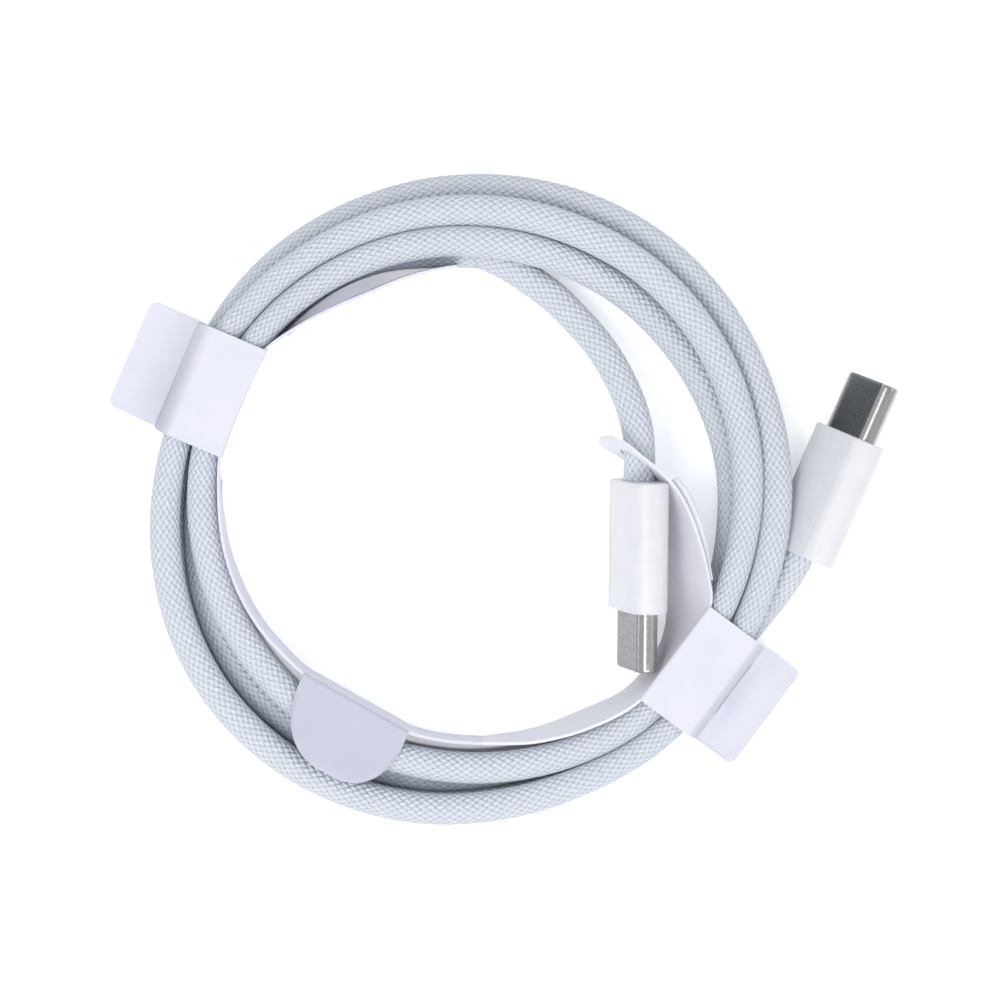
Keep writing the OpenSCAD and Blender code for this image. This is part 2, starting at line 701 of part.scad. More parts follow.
// Side view of a cover wing: over the bundle, down its outside and out along the flange
function cover_profile(x0, x1, x3) =
    let (x2 = x1 + slope_run, zt = wrap_h + crease_gap, zb = card_t + flange_gap, m = card_t * 0.9)
    [[x0, zt], [x1, zt], [x2, zb], [x3, zb], [x3, zb + card_t], [x2 + m * 0.4, zb + card_t],
     [x1 + m * 0.6, zt + card_t], [x0, zt + card_t]];

module cover_wing(x0, x1, x3) {
    intersection() {
        rotate([90, 0, 0]) linear_extrude(clasp_len, center = true)
            polygon(cover_profile(x0, x1, x3));
        linear_extrude(2 * wrap_h)
            polygon(concat([[0, clasp_len / 2], [0, -clasp_len / 2]], flange_end(x3)));
    }
}

module left_cover_wing() {
    color(card_colour) rotate(left_clasp_a)
        cover_wing(left_crease_r - card_t / 2, left_shoulder_r,
                   left_shoulder_r + slope_run + left_flange_w);
}

module right_cover_wing() {
    color(card_colour) rotate(right_clasp_a)
        cover_wing(right_crease_r - card_t / 2, right_shoulder_r,
                   right_shoulder_r + slope_run + right_flange_w);
}

// Outline of the round tongue in the frame of its crease: a squarish half round, slightly askew
tongue_power = 0.8;
tongue_skew = 0.12;

function tongue_point(a) =
    let (out = pow(cos(a), tongue_power))
    [tongue_reach * out,
     tongue_w / 2 * (sign(a) * pow(abs(sin(a)), tongue_power) + tongue_skew * out)];

module fold_tongue() {
    color(card_colour) rotate(tongue_a)
        translate([tongue_crease_r - card_t / 2, 0, wrap_h + crease_gap]) linear_extrude(card_t)
        polygon([for (a = [-90 : 9 : 90]) tongue_point(a)]);
}

// ---------- What is drawn ----------

in_outer_plug() color(boot_colour) boot_body();  // outer_plug_boot
in_outer_plug() color(steel_colour) shell_body();  // outer_plug_shell
in_outer_plug() color("dimgray") contact_block_body();  // outer_plug_contact_block
in_outer_plug() color("gold") contact_row(1);  // outer_plug_upper_contacts
in_outer_plug() color("gold") contact_row(-1);  // outer_plug_lower_contacts
in_outer_plug() color(steel_colour) latch_plate_body();  // outer_plug_latch_plate
in_outer_plug() color(steel_colour) ground_springs_body();  // outer_plug_ground_springs
in_outer_plug() color("seagreen") board_body();  // outer_plug_board
in_outer_plug() color("tan") board_parts_body();  // outer_plug_board_parts
in_outer_plug() color("black") marker_chip_body();  // outer_plug_marker_chip
in_outer_plug() color(steel_colour) can_half(1);  // outer_plug_can_top
in_outer_plug() color(steel_colour) can_half(-1);  // outer_plug_can_bottom
in_outer_plug() color("ivory") inner_mould_body();  // outer_plug_inner_mould
in_outer_plug() color("ivory") shell_seat_body();  // outer_plug_shell_seat
in_outer_plug() color("peru") crimp_ring_body();  // outer_plug_crimp_ring
in_outer_plug() color("firebrick") wires_body();  // outer_plug_wires
in_outer_plug() color("slategray") rear_collar_body();  // outer_plug_rear_collar
in_inner_plug() color(boot_colour) boot_body();  // inner_plug_boot
in_inner_plug() color(steel_colour) shell_body();  // inner_plug_shell
in_inner_plug() color("dimgray") contact_block_body();  // inner_plug_contact_block
in_inner_plug() color("gold") contact_row(1);  // inner_plug_upper_contacts
in_inner_plug() color("gold") contact_row(-1);  // inner_plug_lower_contacts
in_inner_plug() color(steel_colour) latch_plate_body();  // inner_plug_latch_plate
in_inner_plug() color(steel_colour) ground_springs_body();  // inner_plug_ground_springs
in_inner_plug() color("seagreen") board_body();  // inner_plug_board
in_inner_plug() color("tan") board_parts_body();  // inner_plug_board_parts
in_inner_plug() color(steel_colour) can_half(1);  // inner_plug_can_top
in_inner_plug() color(steel_colour) can_half(-1);  // inner_plug_can_bottom
in_inner_plug() color("ivory") inner_mould_body();  // inner_plug_inner_mould
in_inner_plug() color("ivory") shell_seat_body();  // inner_plug_shell_seat
in_inner_plug() color("peru") crimp_ring_body();  // inner_plug_crimp_ring
in_inner_plug() color("firebrick") wires_body();  // inner_plug_wires
in_inner_plug() color("slategray") rear_collar_body();  // inner_plug_rear_collar
outer_tail();
coil();
inner_tail();
card_strip();
card_end();
left_floor_wing();
right_floor_wing();
left_cover_wing();
right_cover_wing();
fold_tongue();
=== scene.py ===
"""Looks of a braided charging cable, coiled and held by a folded card wrap.

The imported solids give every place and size. This script lays the braided cord along its route,
folds the card, rounds the two plugs, and gives every piece its finish. Lengths in the classes are
millimetres, and meshes are in metres.
"""

import json
import logging
import math
from dataclasses import dataclass, field
from enum import Enum
from typing import Optional, Sequence, Union

import bmesh
import bpy
import numpy as np
from mathutils import Matrix, Vector

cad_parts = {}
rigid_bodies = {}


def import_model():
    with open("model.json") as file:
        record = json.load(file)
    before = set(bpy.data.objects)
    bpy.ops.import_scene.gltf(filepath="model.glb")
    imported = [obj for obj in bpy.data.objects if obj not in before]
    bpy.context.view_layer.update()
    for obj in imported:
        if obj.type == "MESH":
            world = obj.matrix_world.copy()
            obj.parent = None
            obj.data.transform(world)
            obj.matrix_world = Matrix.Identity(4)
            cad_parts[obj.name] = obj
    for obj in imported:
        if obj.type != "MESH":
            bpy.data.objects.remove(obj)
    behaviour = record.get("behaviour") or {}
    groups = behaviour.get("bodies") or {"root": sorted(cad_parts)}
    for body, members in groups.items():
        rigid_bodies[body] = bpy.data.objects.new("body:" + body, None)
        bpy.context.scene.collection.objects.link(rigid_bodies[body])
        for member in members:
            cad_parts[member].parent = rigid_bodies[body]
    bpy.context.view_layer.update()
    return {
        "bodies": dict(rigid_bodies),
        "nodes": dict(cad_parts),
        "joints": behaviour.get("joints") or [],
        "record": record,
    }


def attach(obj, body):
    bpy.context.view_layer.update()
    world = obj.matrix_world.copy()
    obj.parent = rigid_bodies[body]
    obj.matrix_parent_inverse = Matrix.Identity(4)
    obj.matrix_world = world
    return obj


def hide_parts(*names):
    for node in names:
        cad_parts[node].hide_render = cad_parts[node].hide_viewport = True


LOG = logging.getLogger("cable")
MM = 0.001
ROOT_BODY = "cable_and_card"

# Noise runs from 0 to 1, but nearly all of it lies between these
NOISE_MIDDLE = (0.3, 0.7)

# Blender's mix node keeps its two colours and their mixture at these places
MIX_COLOUR_A = 6
MIX_COLOUR_OUT = 2

Colour = tuple[float, float, float]
Point = tuple[float, float, float]
Socket = bpy.types.NodeSocket
Input = Union[float, Socket]


# ---------- Helpers for curves ----------


def hump(x: float, centre: float, half: float) -> float:
    """Smooth hump of height 1 at centre that ends half to each side."""
    away = abs(x - centre) / half
    return (1 + math.cos(math.pi * away)) / 2 if away < 1 else 0.0


def quarter_turn(count: int = 7) -> list[float]:
    """Angles from 0 to a quarter turn, in even steps."""
    return [math.pi / 2 * k / (count - 1) for k in range(count)]


def polar(radius: float, degrees: float) -> np.ndarray:
    """Point at a distance and an angle from the coil's axis, in the plane."""
    a = math.radians(degrees)
    return np.array([radius * math.cos(a), radius * math.sin(a)])


def clasp_point(degrees: float, radius: float, along: float) -> np.ndarray:
    """Point at a distance outward in a direction, and to the side of it."""
    a = math.radians(degrees)
    return polar(radius, degrees) + along * np.array([-math.sin(a), math.cos(a)])


def clasp_grid(
    degrees: float, out: np.ndarray, side: np.ndarray, height: np.ndarray
) -> np.ndarray:
    """Grid of points at distances outward in a direction, to the side of it, and up."""
    a = math.radians(degrees)
    x = out * math.cos(a) - side * math.sin(a)
    y = out * math.sin(a) + side * math.cos(a)
    return np.stack([x, y, height], -1)


def ramp(values: np.ndarray, start: float, end: float) -> np.ndarray:
    """0 up to start, 1 from end on, and a straight rise between them."""
    return np.clip((values - start) / (end - start), 0, 1)


def unit(vectors: np.ndarray) -> np.ndarray:
    """Vectors along the last axis, each of length 1."""
    size = np.linalg.norm(vectors, axis=-1, keepdims=True)
    return vectors / np.maximum(size, 1e-12)


def smooth_line(points: Sequence[Sequence[float]], per_span: int) -> np.ndarray:
    """A centripetal spline through points.

    Args:
        points: The points that the line passes, in order.
        per_span: How many steps each span between two points gets.

    Returns:
        The line's points, first and last included.
    """
    p = np.array(points, float)
    p = np.vstack([2 * p[0] - p[1], p, 2 * p[-1] - p[-2]])
    out = []
    for i in range(1, len(p) - 2):
        knots = [0.0]
        for a, b in ((i - 1, i), (i, i + 1), (i + 1, i + 2)):
            knots.append(knots[-1] + max(np.linalg.norm(p[b] - p[a]), 1e-9) ** 0.5)
        t0, t1, t2, t3 = knots
        t = np.linspace(t1, t2, per_span, endpoint=False)[:, None]
        a1 = ((t1 - t) * p[i - 1] + (t - t0) * p[i]) / (t1 - t0)
        a2 = ((t2 - t) * p[i] + (t - t1) * p[i + 1]) / (t2 - t1)
        a3 = ((t3 - t) * p[i + 1] + (t - t2) * p[i + 2]) / (t3 - t2)
        b1 = ((t2 - t) * a1 + (t - t0) * a2) / (t2 - t0)
        b2 = ((t3 - t) * a2 + (t - t1) * a3) / (t3 - t1)
        out.append(((t2 - t) * b1 + (t - t1) * b2) / (t2 - t1))
    return np.vstack(out + [p[-2][None]])


def even_steps(line: np.ndarray, step: float) -> np.ndarray:
    """The same line with points an equal distance apart, close to step."""
    gaps = np.linalg.norm(np.diff(line[:, :3], axis=0), axis=1)
    run = np.concatenate([[0.0], np.cumsum(gaps)])
    count = max(2, int(round(run[-1] / step)) + 1)
    at = np.linspace(0, run[-1], count)
    return np.column_stack([np.interp(at, run, line[:, k]) for k in range(line.shape[1])])


# ---------- Helpers for meshes ----------


def add_piece(
    name: str,
    points: np.ndarray,
    faces: Sequence[Sequence[int]],
    finish: bpy.types.Material,
    sharp: float = 40.0,
) -> bpy.types.Object:
    """Makes a mesh object from points in millimetres.

    Args:
        name: The piece's name.
        points: Its points, n by 3.
        faces: Its faces, as lists of point numbers.
        finish: Its material.
        sharp: Edges that turn more than this many degrees stay sharp.

    Returns:
        The new object, linked to the scene.
    """
    mesh = bpy.data.meshes.new(name)
    mesh.from_pydata((np.asarray(points) * MM).tolist(), [], [list(f) for f in faces])
    mesh.validate()
    bm = bmesh.new()
    bm.from_mesh(mesh)
    bmesh.ops.recalc_face_normals(bm, faces=bm.faces)
    bm.to_mesh(mesh)
    bm.free()
    mesh.shade_smooth()
    mesh.set_sharp_from_angle(angle=math.radians(sharp))
    mesh.materials.append(finish)
    piece = bpy.data.objects.new(name, mesh)
    bpy.context.scene.collection.objects.link(piece)
    return piece


def sheet_faces(rows: int, columns: int) -> list[list[int]]:
    """Faces of a closed sheet: a grid of upper points, then the same grid of lower ones."""
    under = rows * columns
    faces = []
    for i in range(rows - 1):
        for j in range(columns - 1):
            a = i * columns + j
            quad = [a, a + 1, a + columns + 1, a + columns]
            faces.append(quad)
            faces.append([under + k for k in reversed(quad)])
    rim = list(range(columns))
    rim += [i * columns + columns - 1 for i in range(1, rows)]
    rim += [(rows - 1) * columns + j for j in range(columns - 2, -1, -1)]
    rim += [i * columns for i in range(rows - 2, 0, -1)]
    for k, a in enumerate(rim):
        b = rim[(k + 1) % len(rim)]
        faces.append([b, a, under + a, under + b])
    return faces


def grid_normals(grid: np.ndarray) -> np.ndarray:
    """Unit normals at the points of a grid of rows and columns."""
    down = np.gradient(grid, axis=0)
    over = np.gradient(grid, axis=1)
    return unit(np.cross(over, down))


def sheet_points(grid: np.ndarray, thickness: float) -> np.ndarray:
    """Points of a closed sheet of a thickness about a grid of middle points."""
    way = grid_normals(grid) * thickness / 2
    return np.vstack([(grid + way).reshape(-1, 3), (grid - way).reshape(-1, 3)])


def add_sheet(
    name: str, grid: np.ndarray, thickness: float, finish: bpy.types.Material
) -> bpy.types.Object:
    """Makes a closed sheet of a thickness about a grid of middle points."""
    return add_piece(name, sheet_points(grid, thickness), sheet_faces(*grid.shape[:2]), finish)


def loft_faces(rings: int, sides: int) -> list[list[int]]:
    """Faces between rings of equal counts of points, one after another."""
    faces = []
    for i in range(rings - 1):
        for k in range(sides):
            a, b = i * sides + k, i * sides + (k + 1) % sides
            faces.append([a, b, b + sides, a + sides])
    return faces


# ---------- Sizes and places ----------


@dataclass(frozen=True)
class PlugPose:
    """Where a plug lies: the middle of its rear face, its heading, dip and lean."""

    x: float
    y: float
    z: float
    yaw: float
    dip: float
    roll: float

    def matrix(self) -> np.ndarray:
        """The plug's own frame, with X along its axis towards the tip."""
        turn = (
            Matrix.Rotation(math.radians(self.yaw), 3, "Z")
            @ Matrix.Rotation(math.radians(self.dip), 3, "Y")
            @ Matrix.Rotation(math.radians(self.roll), 3, "X")
        )
        return np.array(turn)

    def at(self) -> np.ndarray:
        """The middle of the rear face."""
        return np.array([self.x, self.y, self.z])

    def way(self) -> np.ndarray:
        """Direction from the rear face to the tip."""
        return self.matrix()[:, 0]

    def carry(self, points: np.ndarray) -> np.ndarray:
        """Points in the plug's frame, moved to where the plug lies."""
        return points @ self.matrix().T + self.at()


@dataclass
class Sizes:
    """Sizes that several pieces share.

    Attributes:
        cord_d: Thickness of the cord.
        inner_lane_r: Radius of the coil's inner lane.
        lane_pitch: Distance of two lanes side by side.
        lane_gap: Room between the inner and the outer lane.
        layer_pitch: Distance of the two layers of strands.
        card_t: Thickness of the card.
        rest_gap: Gap between the card on the ground and the strands.
        card_room: Gap between the upper strands and the folded card.
        card_fold_r: Rounding of the card's middle at a crease.
        strip_rise: How far the standing strip reaches above the wrap's plain height.
        strip_out: How far the strip lies outside the left clasp's crease.
        crease_gap: Gap between the wrap's plain height and the folded card.
        flange_gap: Gap between a cover's flange and the card under it.
        left_crease_in: How far the left clasp's crease lies inside the inner lane.
        right_crease_in: The same of the right clasp's crease.
        tongue_crease_in: The same of the tongue's crease.
        clasp_len: Width of the clasps along their creases.
        tongue_w: Width of the tongue along its crease.
        flange_r: Rounding of the flanges' corners.
        boot_w: Width of a plug's housing; boot_t is its thickness and boot_len its length.
        shell_w: Width of its steel shell; shell_t is its thickness.
        shell_out: How far the shell stands out of the housing.
        shell_in: How far it reaches into the housing.
        shell_wall: Thickness of its steel.
        front_wall: Depth of the housing's front opening, where it holds the shell.
        collar_recess: Depth of the rear collar in the housing.
        cord_play: Room round the cord in the housing's rear hole.
        floor_gap: Gap between a plug and the ground.
        left_clasp_a: Direction of the left clasp from the coil's axis, in degrees.
        right_clasp_a: The same of the right clasp.
        tongue_a: The same of the tongue.
        outer_spot: The outer plug's rear, beyond the outer lane, and its direction.
        outer_lie: That plug's heading, dip and lean, in degrees.
        inner_spot: The inner plug's rear, inside the right crease and along it.
        inner_lie: That plug's heading, dip and lean, in degrees.
    """

    cord_d: float = 3.6
    inner_lane_r: float = 31.5
    lane_pitch: float = 3.6
    lane_gap: float = 0.4
    layer_pitch: float = 4.1
    card_t: float = 0.35
    rest_gap: float = 0.05
    card_room: float = 0.1
    card_fold_r: float = 0.19
    strip_rise: float = 0.08
    strip_out: float = 0.2
    crease_gap: float = 0.1
    flange_gap: float = 0.1
    left_crease_in: float = 3.1
    right_crease_in: float = 1.7
    tongue_crease_in: float = 4.5
    clasp_len: float = 13.5
    tongue_w: float = 13.9
    flange_r: float = 0.7
    boot_w: float = 10.6
    boot_t: float = 4.6
    boot_len: float = 15.2
    shell_w: float = 8.25
    shell_t: float = 2.4
    shell_out: float = 6.95
    shell_in: float = 3.2
    shell_wall: float = 0.25
    front_wall: float = 0.8
    collar_recess: float = 0.3
    cord_play: float = 0.15
    floor_gap: float = 0.03
    left_clasp_a: float = 157.0
    right_clasp_a: float = 323.3
    tongue_a: float = 240.8
    outer_spot: tuple[float, float] = (3.6, -9.4)
    outer_lie: Point = (67, -4, 123)
    inner_spot: tuple[float, float] = (15.3, 13.6)
    inner_lie: Point = (-90.5, 4.3, 70)

    @property
    def outer_lane_r(self) -> float:
        """Radius of the outer lane."""
        return self.inner_lane_r + self.lane_pitch + self.lane_gap

    @property
    def low_z(self) -> float:
        """Height of the lower layer's middle."""
        return self.card_t + self.rest_gap + self.cord_d / 2

    @property
    def top_z(self) -> float:
        """Height of the upper layer's middle."""
        return self.low_z + self.layer_pitch

    @property
    def wrap_h(self) -> float:
        """Height of the standing card."""
        return self.top_z + self.cord_d / 2 + self.card_room

    @property
    def strip_top(self) -> float:
        """Height of the standing strip's upper edge."""
        return self.wrap_h + self.strip_rise

    @property
    def fold_z(self) -> float:
        """Height of the middle of the card that is folded over the bundle."""
        return self.wrap_h + self.crease_gap + self.card_t / 2

    @property
    def left_crease_r(self) -> float:
        """Distance of the left clasp's crease from the coil's axis."""
        return self.inner_lane_r - self.left_crease_in

    @property
    def right_crease_r(self) -> float:
        """Distance of the right clasp's crease from the coil's axis."""
        return self.inner_lane_r - self.right_crease_in

    @property
    def tongue_crease_r(self) -> float:
        """Distance of the tongue's crease from the coil's axis."""
        return self.inner_lane_r - self.tongue_crease_in

    def plug_pose(self, spot: np.ndarray, yaw: float, dip: float, roll: float) -> PlugPose:
        """Pose of a plug that leans on the floor at a spot."""
        half = (self.boot_w - self.boot_t) / 2 * math.sin(math.radians(roll)) + self.boot_t / 2
        drop = self.boot_len * max(math.sin(math.radians(dip)), 0.0)
        z = half * math.cos(math.radians(dip)) + drop + self.floor_gap
        return PlugPose(spot[0], spot[1], z, yaw, dip, roll)

    def outer_pose(self) -> PlugPose:
        """Pose of the plug outside the ring."""
        beyond, degrees = self.outer_spot
        return self.plug_pose(polar(self.outer_lane_r + beyond, degrees), *self.outer_lie)

    def inner_pose(self) -> PlugPose:
        """Pose of the plug inside the ring."""
        inside, along = self.inner_spot
        spot = clasp_point(self.right_clasp_a, self.right_crease_r - inside, along)
        return self.plug_pose(spot, *self.inner_lie)


# ---------- Node graphs ----------


class Graph:
    """A material with its node tree and short calls that grow it."""

    def __init__(self, name: str) -> None:
        """Starts a material that holds one Principled shader."""
        self.material = bpy.data.materials.new(name)
        self.material.use_nodes = True
        self.tree = self.material.node_tree
        self.shader = self.tree.nodes["Principled BSDF"]

    def node(self, kind: str, **settings: object) -> bpy.types.Node:
        """Adds a node and sets its properties."""
        made = self.tree.nodes.new(kind)
        for key, value in settings.items():
            setattr(made, key, value)
        return made

    def feed(self, socket: Socket, value: object) -> None:
        """Links a socket to another one, or sets its number or colour."""
        if isinstance(value, bpy.types.NodeSocket):
            self.tree.links.new(value, socket)
        elif isinstance(value, tuple) and len(value) == 3 and len(socket.default_value) == 4:
            socket.default_value = (*value, 1.0)
        else:
            socket.default_value = value

    def set(self, **values: object) -> None:
        """Feeds the shader's sockets by their names, with _ for a space."""
        for key, value in values.items():
            self.feed(self.shader.inputs[key.replace("_", " ")], value)

    def maths(self, operation: str, *values: Input) -> Socket:
        """One arithmetic step on numbers or sockets."""
        made = self.node("ShaderNodeMath", operation=operation)
        for socket, value in zip(made.inputs, values):
            self.feed(socket, value)
        return made.outputs[0]

    def remap(self, value: Input, a: float, b: float, low: float, high: float) -> Socket:
        """Moves value from the range a to b, smoothly, to the range low to high."""
        made = self.node("ShaderNodeMapRange", interpolation_type="SMOOTHSTEP")
        for socket, given in zip(made.inputs, (value, a, b, low, high)):
            self.feed(socket, given)
        return made.outputs[0]

    def blend_colour(self, share: Input, first: object, second: object) -> Socket:
        """Mixes two colours."""
        made = self.node("ShaderNodeMix", data_type="RGBA")
        self.feed(made.inputs[0], share)
        self.feed(made.inputs[MIX_COLOUR_A], first)
        self.feed(made.inputs[MIX_COLOUR_A + 1], second)
        return made.outputs[MIX_COLOUR_OUT]

    def pick(self, which: Input, first: Input, second: Input) -> Socket:
        """The first number where which is 0, and the second where it is 1."""
        made = self.node("ShaderNodeMix", data_type="FLOAT")
        for socket, value in zip(made.inputs, (which, None, first, second)):
            if value is not None:
                self.feed(socket, value)
        return made.outputs[0]

    def numbers(self, vector: Socket) -> Sequence[Socket]:
        """The three numbers of a vector."""
        parts = self.node("ShaderNodeSeparateXYZ")
        self.feed(parts.inputs[0], vector)
        return parts.outputs

    def uv(self, name: str) -> Sequence[Socket]:
        """The numbers of a UV map."""
        return self.numbers(self.node("ShaderNodeUVMap", uv_map=name).outputs[0])

    def place(self) -> Socket:
        """The point on the object, in metres."""
        return self.node("ShaderNodeTexCoord").outputs["Object"]

    def noise(self, size: float, detail: float = 2.0) -> Socket:
        """Cloudy noise whose lumps are about size millimetres across."""
        made = self.node("ShaderNodeTexNoise")
        self.feed(made.inputs["Vector"], self.place())
        made.inputs["Scale"].default_value = 1 / (size * MM)
        made.inputs["Detail"].default_value = detail
        return made.outputs["Fac"]

    def bump(self, height: Socket, depth: float) -> Socket:
        """A bump whose full height is depth millimetres."""
        made = self.node("ShaderNodeBump")
        made.inputs["Strength"].default_value = 1.0
        made.inputs["Distance"].default_value = depth * MM
        self.feed(made.inputs["Height"], height)
        return made.outputs[0]


# ---------- Finishes ----------


@dataclass(frozen=True)
class BraidFinish:
    """Pale yarns crossing one over one, with a pinhole where four of them meet.

    Attributes:
        name: The material's name.
        light: Colour on the yarns' crowns, a painted highlight.
        shade: Colour between the yarns, painted shade.
        hole: Colour of the pinholes, painted shade in them.
        uv: UV map with the place in the braid, in cells along and round the cord.
        yarn_flank: Part of a cell over which a yarn rises from its edge.
        dive_reach: Part of a cell over which a yarn goes down at its end.
        dive_height: Its height at the end, as a share of the full height.
        filaments: Filaments side by side in a yarn.
        filament_relief: How far they stand out.
        fuzz: Strength of the finest roughness, whose lumps are fuzz_size across.
        cloud: Strength of the slow changes in tone, which are cloud_size across.
        shade_span: Heights at which the tone is all painted shade and all painted highlight.
        pit_reach: Distances in cells from where four yarns meet at which the pinhole starts to
            fade and ends.
        pit_strength: How much of the pinhole's colour shows.
        depth: Height of the yarns in millimetres.
    """

    name: str = "pale_braid"
    light: Colour = (0.82, 0.86, 0.92)
    shade: Colour = (0.69, 0.74, 0.83)
    hole: Colour = (0.25, 0.29, 0.40)
    uv: str = "braid"
    yarn_flank: float = 0.42
    dive_reach: float = 0.30
    dive_height: float = 0.45
    filaments: float = 5.0
    filament_relief: float = 0.05
    fuzz: float = 0.16
    fuzz_size: float = 0.08
    cloud: float = 0.06
    cloud_size: float = 2.2
    shade_span: tuple[float, float] = (0.05, 0.85)
    pit_reach: tuple[float, float] = (0.06, 0.20)
    pit_strength: float = 0.85
    depth: float = 0.15

    def build(self) -> bpy.types.Material:
        """Makes the material."""
        g = Graph(self.name)
        run, way, _ = g.uv(self.uv)
        p, q = g.maths("ADD", run, way), g.maths("SUBTRACT", run, way)
        in_p, in_q = g.maths("FRACT", p), g.maths("FRACT", q)
        edge_p = g.maths("PINGPONG", p, 0.5)
        edge_q = g.maths("PINGPONG", q, 0.5)
        both = g.maths("ADD", g.maths("FLOOR", p), g.maths("FLOOR", q))
        over = g.maths("PINGPONG", both, 1.0)
        side = g.pick(over, edge_p, edge_q)
        end = g.pick(over, edge_q, edge_p)
        across = g.pick(over, in_p, in_q)
        rounded = g.remap(side, 0.0, self.yarn_flank, 0.0, 1.0)
        dive = g.remap(end, 0.0, self.dive_reach, self.dive_height, 1.0)
        height = g.maths("MULTIPLY", rounded, dive)
        lines = g.maths("SINE", g.maths("MULTIPLY", across, 2 * math.pi * self.filaments))
        fluff = g.maths("MULTIPLY", g.noise(self.fuzz_size, 3.0), self.fuzz)
        thread = g.maths("MULTIPLY_ADD", lines, self.filament_relief, fluff)
        # Painted highlight and shade: the yarns' crowns are lighter, their flanks and ends darker,
        # and the pinholes darker still.
        pit = g.remap(g.maths("ADD", edge_p, edge_q), *self.pit_reach, 1.0, 0.0)
        cloudy = g.remap(g.noise(self.cloud_size), *NOISE_MIDDLE, -self.cloud, self.cloud)
        bright = g.maths("ADD", g.maths("ADD", height, cloudy), thread)
        tone = g.blend_colour(g.remap(bright, *self.shade_span, 0.0, 1.0), self.shade, self.light)
        g.set(
            Base_Color=g.blend_colour(g.maths("MULTIPLY", pit, self.pit_strength), tone, self.hole),
            Roughness=0.62,
            Sheen_Weight=0.12,
            Sheen_Roughness=0.5,
            Specular_IOR_Level=0.35,
            Normal=g.bump(g.maths("ADD", height, thread), self.depth),
        )
        return g.material


@dataclass(frozen=True)
class CardFinish:
    """Uncoated white card with a faint cloudiness and a fine tooth.

    Attributes:
        name: The material's name.
        colour: The card's colour.
        cloud: Its colour where it is cloudy.
        roughness: Its middle roughness, which varies by roughness_spread.
        tooth_depth: Height of its tooth in millimetres.
        painted_shade: Its colour where shade is painted on it, if it has such places.
        uv: UV map whose first number says how much painted shade it has.
    """

    name: str = "white_card"
    colour: Colour = (0.81, 0.81, 0.90)
    cloud: Colour = (0.78, 0.79, 0.885)
    roughness: float = 0.6
    roughness_spread: float = 0.06
    tooth_depth: float = 0.006
    painted_shade: Optional[Colour] = None
    uv: str = "painted_shade"

    def build(self) -> bpy.types.Material:
        """Makes the material."""
        g = Graph(self.name)
        share = g.remap(g.noise(3.5, 4.0), 0.35, 0.65, 0.0, 1.0)
        fleck = g.noise(0.12, 3.0)
        tooth = g.maths("ADD", fleck, g.maths("MULTIPLY", g.noise(0.6), 0.6))
        rough, spread = self.roughness, self.roughness_spread
        tone = g.blend_colour(share, self.colour, self.cloud)
        # Painted shade: the colour darkens as far as the UV map says.
        if self.painted_shade is not None:
            tone = g.blend_colour(g.uv(self.uv)[0], tone, self.painted_shade)
        g.set(
            Base_Color=tone,
            Roughness=g.remap(fleck, *NOISE_MIDDLE, rough - spread, rough + spread),
            Specular_IOR_Level=0.4,
            Normal=g.bump(tooth, self.tooth_depth),
        )
        return g.material


@dataclass(frozen=True)
class PlasticFinish:
    """Moulded plastic or rubber with a very slight unevenness.

    Attributes:
        name: The material's name.
        colour: Its colour.
        roughness: Its least roughness; the most is roughening times that.
        coat: Strength of the gloss on it.
        ripple: Height of its unevenness in millimetres.
        dulling: How bright it is where it is dullest, as a share of its colour.
    """

    name: str
    colour: Colour
    roughness: float = 0.3
    coat: float = 0.0
    ripple: float = 0.004
    dulling: float = 0.965
    roughening: float = 1.2

    def build(self) -> bpy.types.Material:
        """Makes the material."""
        g = Graph(self.name)
        share = g.remap(g.noise(2.5), *NOISE_MIDDLE, 0, 1)
        dull = tuple(self.dulling * c for c in self.colour)
        rough, most = self.roughness, self.roughness * self.roughening
        g.set(
            Base_Color=g.blend_colour(share, self.colour, dull),
            Roughness=g.remap(g.noise(0.5, 3), *NOISE_MIDDLE, rough, most),
            Coat_Weight=self.coat,
            Coat_Roughness=0.25,
            Normal=g.bump(g.noise(0.9), self.ripple),
        )
        return g.material


@dataclass(frozen=True)
class MetalFinish:
    """Plated or drawn metal, mottled, with flat sides whose colour may be darker as a painted
    reflection.

    Attributes:
        name: The material's name.
        colour: Its colour.
        stain: Its colour in the mottled spots.
        roughness: Its least roughness; the most is roughening times that.
        flat: Colour of flat sides, if they differ, darker as a painted reflection; flat_stain is its
            share in the spots.
        scratches: Depth of the fine scratches in millimetres.
        uv: UV map whose first number is 1 on the flat sides.
    """

    name: str
    colour: Colour
    stain: Colour
    roughness: float = 0.28
    flat: Optional[Colour] = None
    flat_stain: float = 0.86
    roughening: float = 1.4
    scratches: float = 0.0012
    uv: str = "side"

    def build(self) -> bpy.types.Material:
        """Makes the material."""
        g = Graph(self.name)
        spots = g.noise(0.35, 5.0)
        stained = g.remap(spots, 0.35, 0.7, 0, 1)
        rough, most = self.roughness, self.roughness * self.roughening
        tone = g.blend_colour(stained, self.colour, self.stain)
        # Painted reflection: the flat sides get a darker colour of their own.
        if self.flat is not None:
            dull = tuple(self.flat_stain * c for c in self.flat)
            face = g.blend_colour(stained, self.flat, dull)
            tone = g.blend_colour(g.uv(self.uv)[0], tone, face)
        g.set(
            Base_Color=tone,
            Metallic=1.0,
            Roughness=g.remap(spots, *NOISE_MIDDLE, rough, most),
            Normal=g.bump(g.noise(0.06, 3.0), self.scratches),
        )
        return g.material


@dataclass(frozen=True)
class SteelFinish(MetalFinish):
    """Nickel-plated steel."""

    name: str = "nickel_steel"
    colour: Colour = (0.50, 0.49, 0.48)
    stain: Colour = (0.44, 0.43, 0.42)
    roughness: float = 0.22


